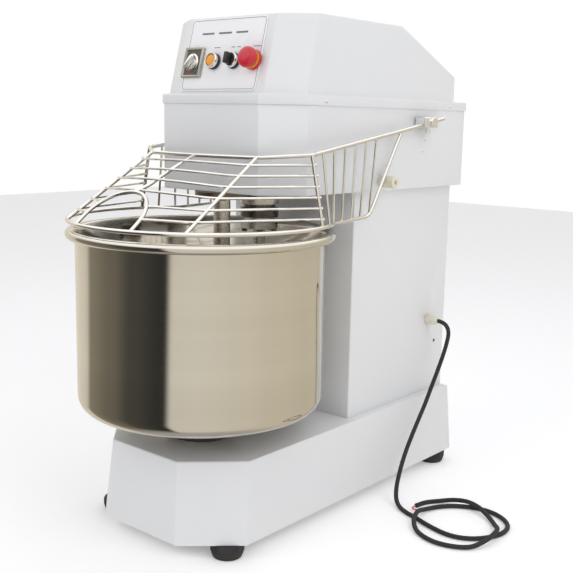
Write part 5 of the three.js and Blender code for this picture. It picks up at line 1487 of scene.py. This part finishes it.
# ---- cord -------------------------------------------------------------------------------------
@dataclass
class Supply:
    """The gland, the supply cord and its bared end."""

    radius: float = 0.00475
    wire: float = 0.0016
    exit_reach: float = 0.004
    route: tuple[Place, ...] = (
        (0.2025, 0.5635, 0.3546), (0.214, 0.5626, 0.3516), (0.224, 0.5605, 0.344),
        (0.2295, 0.557, 0.332), (0.23, 0.551, 0.312), (0.2265, 0.543, 0.283), (0.222, 0.531, 0.25),
        (0.2175, 0.515, 0.214), (0.216, 0.493, 0.178), (0.219, 0.462, 0.147), (0.2245, 0.427, 0.117),
        (0.231, 0.394, 0.088), (0.239, 0.363, 0.056), (0.248, 0.34, 0.031), (0.26, 0.323, 0.0145),
        (0.277, 0.31, 0.007), (0.3, 0.299, 0.0052),
        (0.330, 0.289, 0.0052), (0.372, 0.274, 0.0052), (0.417, 0.265, 0.0052), (0.448, 0.271, 0.0052),
        (0.473, 0.290, 0.0052), (0.491, 0.320, 0.0052), (0.497, 0.350, 0.0052), (0.490, 0.381, 0.0052),
        (0.470, 0.404, 0.0052), (0.442, 0.418, 0.0052), (0.410, 0.420, 0.0052), (0.380, 0.410, 0.0052),
        (0.353, 0.391, 0.0052), (0.334, 0.366, 0.0052), (0.324, 0.333, 0.0075), (0.3265, 0.307, 0.0135),
        (0.332, 0.287, 0.0154), (0.343, 0.262, 0.0115), (0.368, 0.236, 0.006), (0.412, 0.2195, 0.0052),
        (0.453, 0.226, 0.0052), (0.482, 0.247, 0.006), (0.495, 0.277, 0.012), (0.497, 0.306, 0.0154),
        (0.491, 0.334, 0.0154), (0.470, 0.363, 0.0085), (0.441, 0.391, 0.008), (0.410, 0.406, 0.0145),
        (0.380, 0.413, 0.0156), (0.348, 0.411, 0.011), (0.320, 0.395, 0.0054), (0.303, 0.369, 0.0052),
        (0.2975, 0.342, 0.0052),
    )
    bared: tuple[Place, ...] = (
        (0.2975, 0.3408, 0.0052), (0.2975, 0.331, 0.0056), (0.302, 0.322, 0.0062), (0.309, 0.323, 0.0055),
        (0.313, 0.335, 0.004), (0.317, 0.350, 0.003), (0.322, 0.366, 0.0026), (0.3285, 0.380, 0.0022),
    )

    def build(self) -> None:
        """Builds and dresses the gland and the cord."""
        low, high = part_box("cord_gland")
        middle = ((low.y + high.y) / 2, (low.z + high.z) / 2)
        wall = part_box("column_shell")[1].x
        start = Vector((high.x + 0.0003, *middle))
        points = [start, *(on_machine(*p) for p in self.route)]
        smooth = smooth_route(points, 7)
        straight = start + Vector((self.exit_reach, 0.0, 0.0))
        beyond = [p for p in smooth if p.x > straight.x + 0.001 or (p - start).length > 0.02]
        path = [start, straight, *beyond]
        release()
        bpy.ops.curve.primitive_bezier_curve_add(location=(0.0, 0.0, 0.0))
        cord = bpy.context.object
        cord.name = "supply_cord"
        trace(cord.data, path, self.radius, 4)
        dress(cord, JACKET, Body.MACHINE, Slot.CORD_JACKET, "cord")
        length = sum((b - a).length for a, b in zip(path, path[1:]))
        log.info("cord length %.3f m", length)
        wire = tube("bared_wire", smooth_route([on_machine(*p) for p in self.bared], 6), self.wire, 3)
        dress(wire, INSULATION, Body.MACHINE, Slot.RED_INSULATION, "cord_conductor")
        reach = high.x - wall
        nut = turned("nut", [(0.0118, 0.0003), (0.0124, 0.0011), (0.0124, 0.0083), (0.0116, 0.0092)],
                     facing(Direction.RIGHT, (wall, *middle)), 6)
        dome = turned(
            "dome",
            [(0.0098, 0.008), (0.0108, 0.0093), (0.0108, 0.016), (0.0104, 0.0165), (0.0104, 0.0175),
             (0.0106, 0.018),
             (0.0099, 0.0225), (0.0082, 0.0265), (0.0062, reach - 0.0005), (0.0052, reach)],
            facing(Direction.RIGHT, (wall, *middle)), 40,
        )
        dress(joined("gland_and_relief", [nut, dome]), CREAM, Body.MACHINE, Slot.CREAM_PLASTIC, "cord_gland")


# ---- studio -----------------------------------------------------------------------------------
@dataclass
class Studio:
    """The floor, the light and the camera.

    Attributes:
        eye: the camera's place.
        yaw: how far it is turned from looking straight back, in radians.
        pitch: how far it looks down.
        roll: how far it leans.
        lens: its focal length in millimetres.
        sensor: its picture's width in millimetres.
        floor_size: the floor's side.
        exposure: the view's exposure, in stops.
        floor_glow: the floor's own light.
        lit_point: what the lamps face.
        lamps: each lamp's name, place, side and power in watts.
        bands: what shiny pieces mirror round them, as (share of a turn, colour).
        ceiling: what they mirror above.
        ceiling_from: the heights of a direction between which it comes in.
        ground: what they mirror below.
        ground_from: the heights between which it comes in.
        fill: the colour of the light from all round.
        fill_strength: its strength.
    """

    eye: Place = (1.2823, -1.4581, 0.8026)
    yaw: float = 0.70190
    pitch: float = 0.17683
    roll: float = 0.020085
    lens: float = 58.565
    sensor: float = 36.0
    floor_size: float = 14.0
    exposure: float = 0.0
    floor_glow: float = 0.24
    lit_point: Place = (0.0, 0.0, 0.5)
    lamps: tuple[tuple[str, Place, float, float], ...] = (
        ("key", (2.6, -0.4, 2.4), 2.2, 22.0),
        ("front", (-1.0, -3.0, 2.0), 2.4, 22.0),
        ("top", (0.2, 0.4, 3.4), 2.6, 17.0),
    )
    bands: tuple[tuple[float, Place], ...] = field(default_factory=lambda: (
        (0.000, (0.82, 0.76, 0.64)), (0.014, (0.76, 0.71, 0.59)), (0.036, (0.30, 0.275, 0.21)),
        (0.120, (0.200, 0.180, 0.140)), (0.185, (0.085, 0.080, 0.066)), (0.278, (0.042, 0.042, 0.038)),
        (0.300, (0.86, 0.82, 0.72)), (0.360, (0.88, 0.84, 0.74)), (0.470, (0.84, 0.79, 0.67)),
        (0.575, (0.79, 0.73, 0.59)), (0.720, (0.72, 0.66, 0.52)), (0.780, (0.62, 0.57, 0.45)),
        (0.865, (0.82, 0.76, 0.64)),
    ))
    ceiling: Place = (1.45, 1.44, 1.42)
    ceiling_from: tuple[float, float] = (0.15, 0.50)
    ground: Place = (0.50, 0.485, 0.45)
    ground_from: tuple[float, float] = (-0.78, -0.95)
    fill: Place = (0.97, 0.975, 1.0)
    fill_strength: float = 0.54

    def build(self) -> None:
        """Sets up the floor, the surroundings, the lamps and the camera."""
        release()
        bpy.ops.mesh.primitive_plane_add(size=self.floor_size, location=(0.0, 0.0, 0.0))
        floor = bpy.context.object
        floor.name = "studio_floor"
        floor.visible_glossy = False
        glow = PAPER.material().node_tree.nodes["Principled BSDF"]
        glow.inputs["Emission Color"].default_value = (1.0, 1.0, 1.0, 1.0)
        glow.inputs["Emission Strength"].default_value = self.floor_glow
        floor.data.materials.append(PAPER.material())
        self._surroundings()
        view = bpy.context.scene.view_settings
        view.view_transform = "Standard"
        view.exposure = self.exposure
        for name, at, size, power in self.lamps:
            lamp = bpy.data.lights.new(name, "AREA")
            lamp.shape, lamp.size, lamp.energy = "SQUARE", size, power
            stand = bpy.data.objects.new(name, lamp)
            aim = Vector(self.lit_point) - Vector(at)
            stand.location = at
            stand.rotation_mode = "QUATERNION"
            stand.rotation_quaternion = aim.to_track_quat("-Z", "Y")
            stand.visible_glossy = False
            bpy.context.scene.collection.objects.link(stand)
        self._camera()

    def _surroundings(self) -> None:
        """Makes a white room, which mirrors as soft upright bands."""
        world = bpy.data.worlds.new("white_room")
        world.use_nodes = True
        bpy.context.scene.world = world
        tree = world.node_tree
        tree.nodes.clear()
        place = new_node(tree, "TexCoord")
        apart = new_node(tree, "SeparateXYZ")
        angle = new_node(tree, "Math", operation="ARCTAN2")
        turn = new_node(tree, "MapRange")
        turn.inputs["From Min"].default_value = -math.pi
        turn.inputs["From Max"].default_value = math.pi
        ramp = new_node(tree, "ValToRGB")
        ramp.color_ramp.interpolation = "EASE"
        stops = ramp.color_ramp.elements
        while len(stops) < len(self.bands):
            stops.new(0.5)
        for stop, (at, colour) in zip(stops, self.bands):
            stop.position = at
            stop.color = (*colour, 1.0)
        high, low = new_node(tree, "MapRange"), new_node(tree, "MapRange")
        for level, (start, end) in ((high, self.ceiling_from), (low, self.ground_from)):
            level.inputs["From Min"].default_value = start
            level.inputs["From Max"].default_value = end
        above, below = new_node(tree, "Mix", data_type="RGBA"), new_node(tree, "Mix", data_type="RGBA")
        above.inputs[7].default_value = (*self.ceiling, 1.0)
        below.inputs[7].default_value = (*self.ground, 1.0)
        path = new_node(tree, "LightPath")
        plain, bands, seen = (new_node(tree, "Background") for _ in range(3))
        plain.inputs["Color"].default_value = (*self.fill, 1.0)
        plain.inputs["Strength"].default_value = self.fill_strength
        seen.inputs["Color"].default_value = (1.0, 1.0, 1.0, 1.0)
        glossy, camera = new_node(tree, "MixShader"), new_node(tree, "MixShader")
        output = new_node(tree, "OutputWorld")
        link = tree.links.new
        link(place.outputs["Generated"], apart.inputs[0])
        link(apart.outputs["Y"], angle.inputs[0])
        link(apart.outputs["X"], angle.inputs[1])
        link(angle.outputs[0], turn.inputs["Value"])
        link(turn.outputs["Result"], ramp.inputs["Fac"])
        link(apart.outputs["Z"], high.inputs["Value"])
        link(apart.outputs["Z"], low.inputs["Value"])
        link(high.outputs["Result"], above.inputs[0])
        link(ramp.outputs["Color"], above.inputs[6])
        link(low.outputs["Result"], below.inputs[0])
        link(above.outputs[2], below.inputs[6])
        link(below.outputs[2], bands.inputs["Color"])
        link(path.outputs["Is Glossy Ray"], glossy.inputs["Fac"])
        link(plain.outputs[0], glossy.inputs[1])
        link(bands.outputs[0], glossy.inputs[2])
        link(path.outputs["Is Camera Ray"], camera.inputs["Fac"])
        link(glossy.outputs[0], camera.inputs[1])
        link(seen.outputs[0], camera.inputs[2])
        link(camera.outputs[0], output.inputs["Surface"])

    def _camera(self) -> None:
        """Makes the camera."""
        data = bpy.data.cameras.new("camera")
        data.lens = self.lens
        data.sensor_width = self.sensor
        camera = bpy.data.objects.new("camera", data)
        bpy.context.scene.collection.objects.link(camera)
        back = Vector((
            math.sin(self.yaw) * math.cos(self.pitch),
            -math.cos(self.yaw) * math.cos(self.pitch),
            math.sin(self.pitch),
        ))
        right = Vector((math.cos(self.yaw), math.sin(self.yaw), 0.0))
        up = back.cross(right)
        turned_right = right * math.cos(self.roll) + up * math.sin(self.roll)
        turned_up = up * math.cos(self.roll) - right * math.sin(self.roll)
        axes = Matrix((turned_right, turned_up, back)).transposed().to_4x4()
        camera.matrix_world = Matrix.Translation(self.eye) @ axes
        bpy.context.scene.camera = camera


def dress_packed_parts() -> None:
    """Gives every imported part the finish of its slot."""
    slots = {row["node"]: Slot(row["material_slot"]) for row in frame["record"]["subparts"]}
    for name, node in frame["nodes"].items():
        node.data.materials.clear()
        node.data.materials.append(SLOT_FINISH[slots[name]].material())


def main() -> None:
    """Builds the studio and every sub-assembly."""
    Studio().build()
    Supply().build()
    dress_packed_parts()
    for assembly in (Cabinet(), Bowl(), Tools(), Guard(), ControlPanel()):
        assembly.build()
        log.info("%s is built", type(assembly).__name__)


if __name__ == "__main__":
    main()
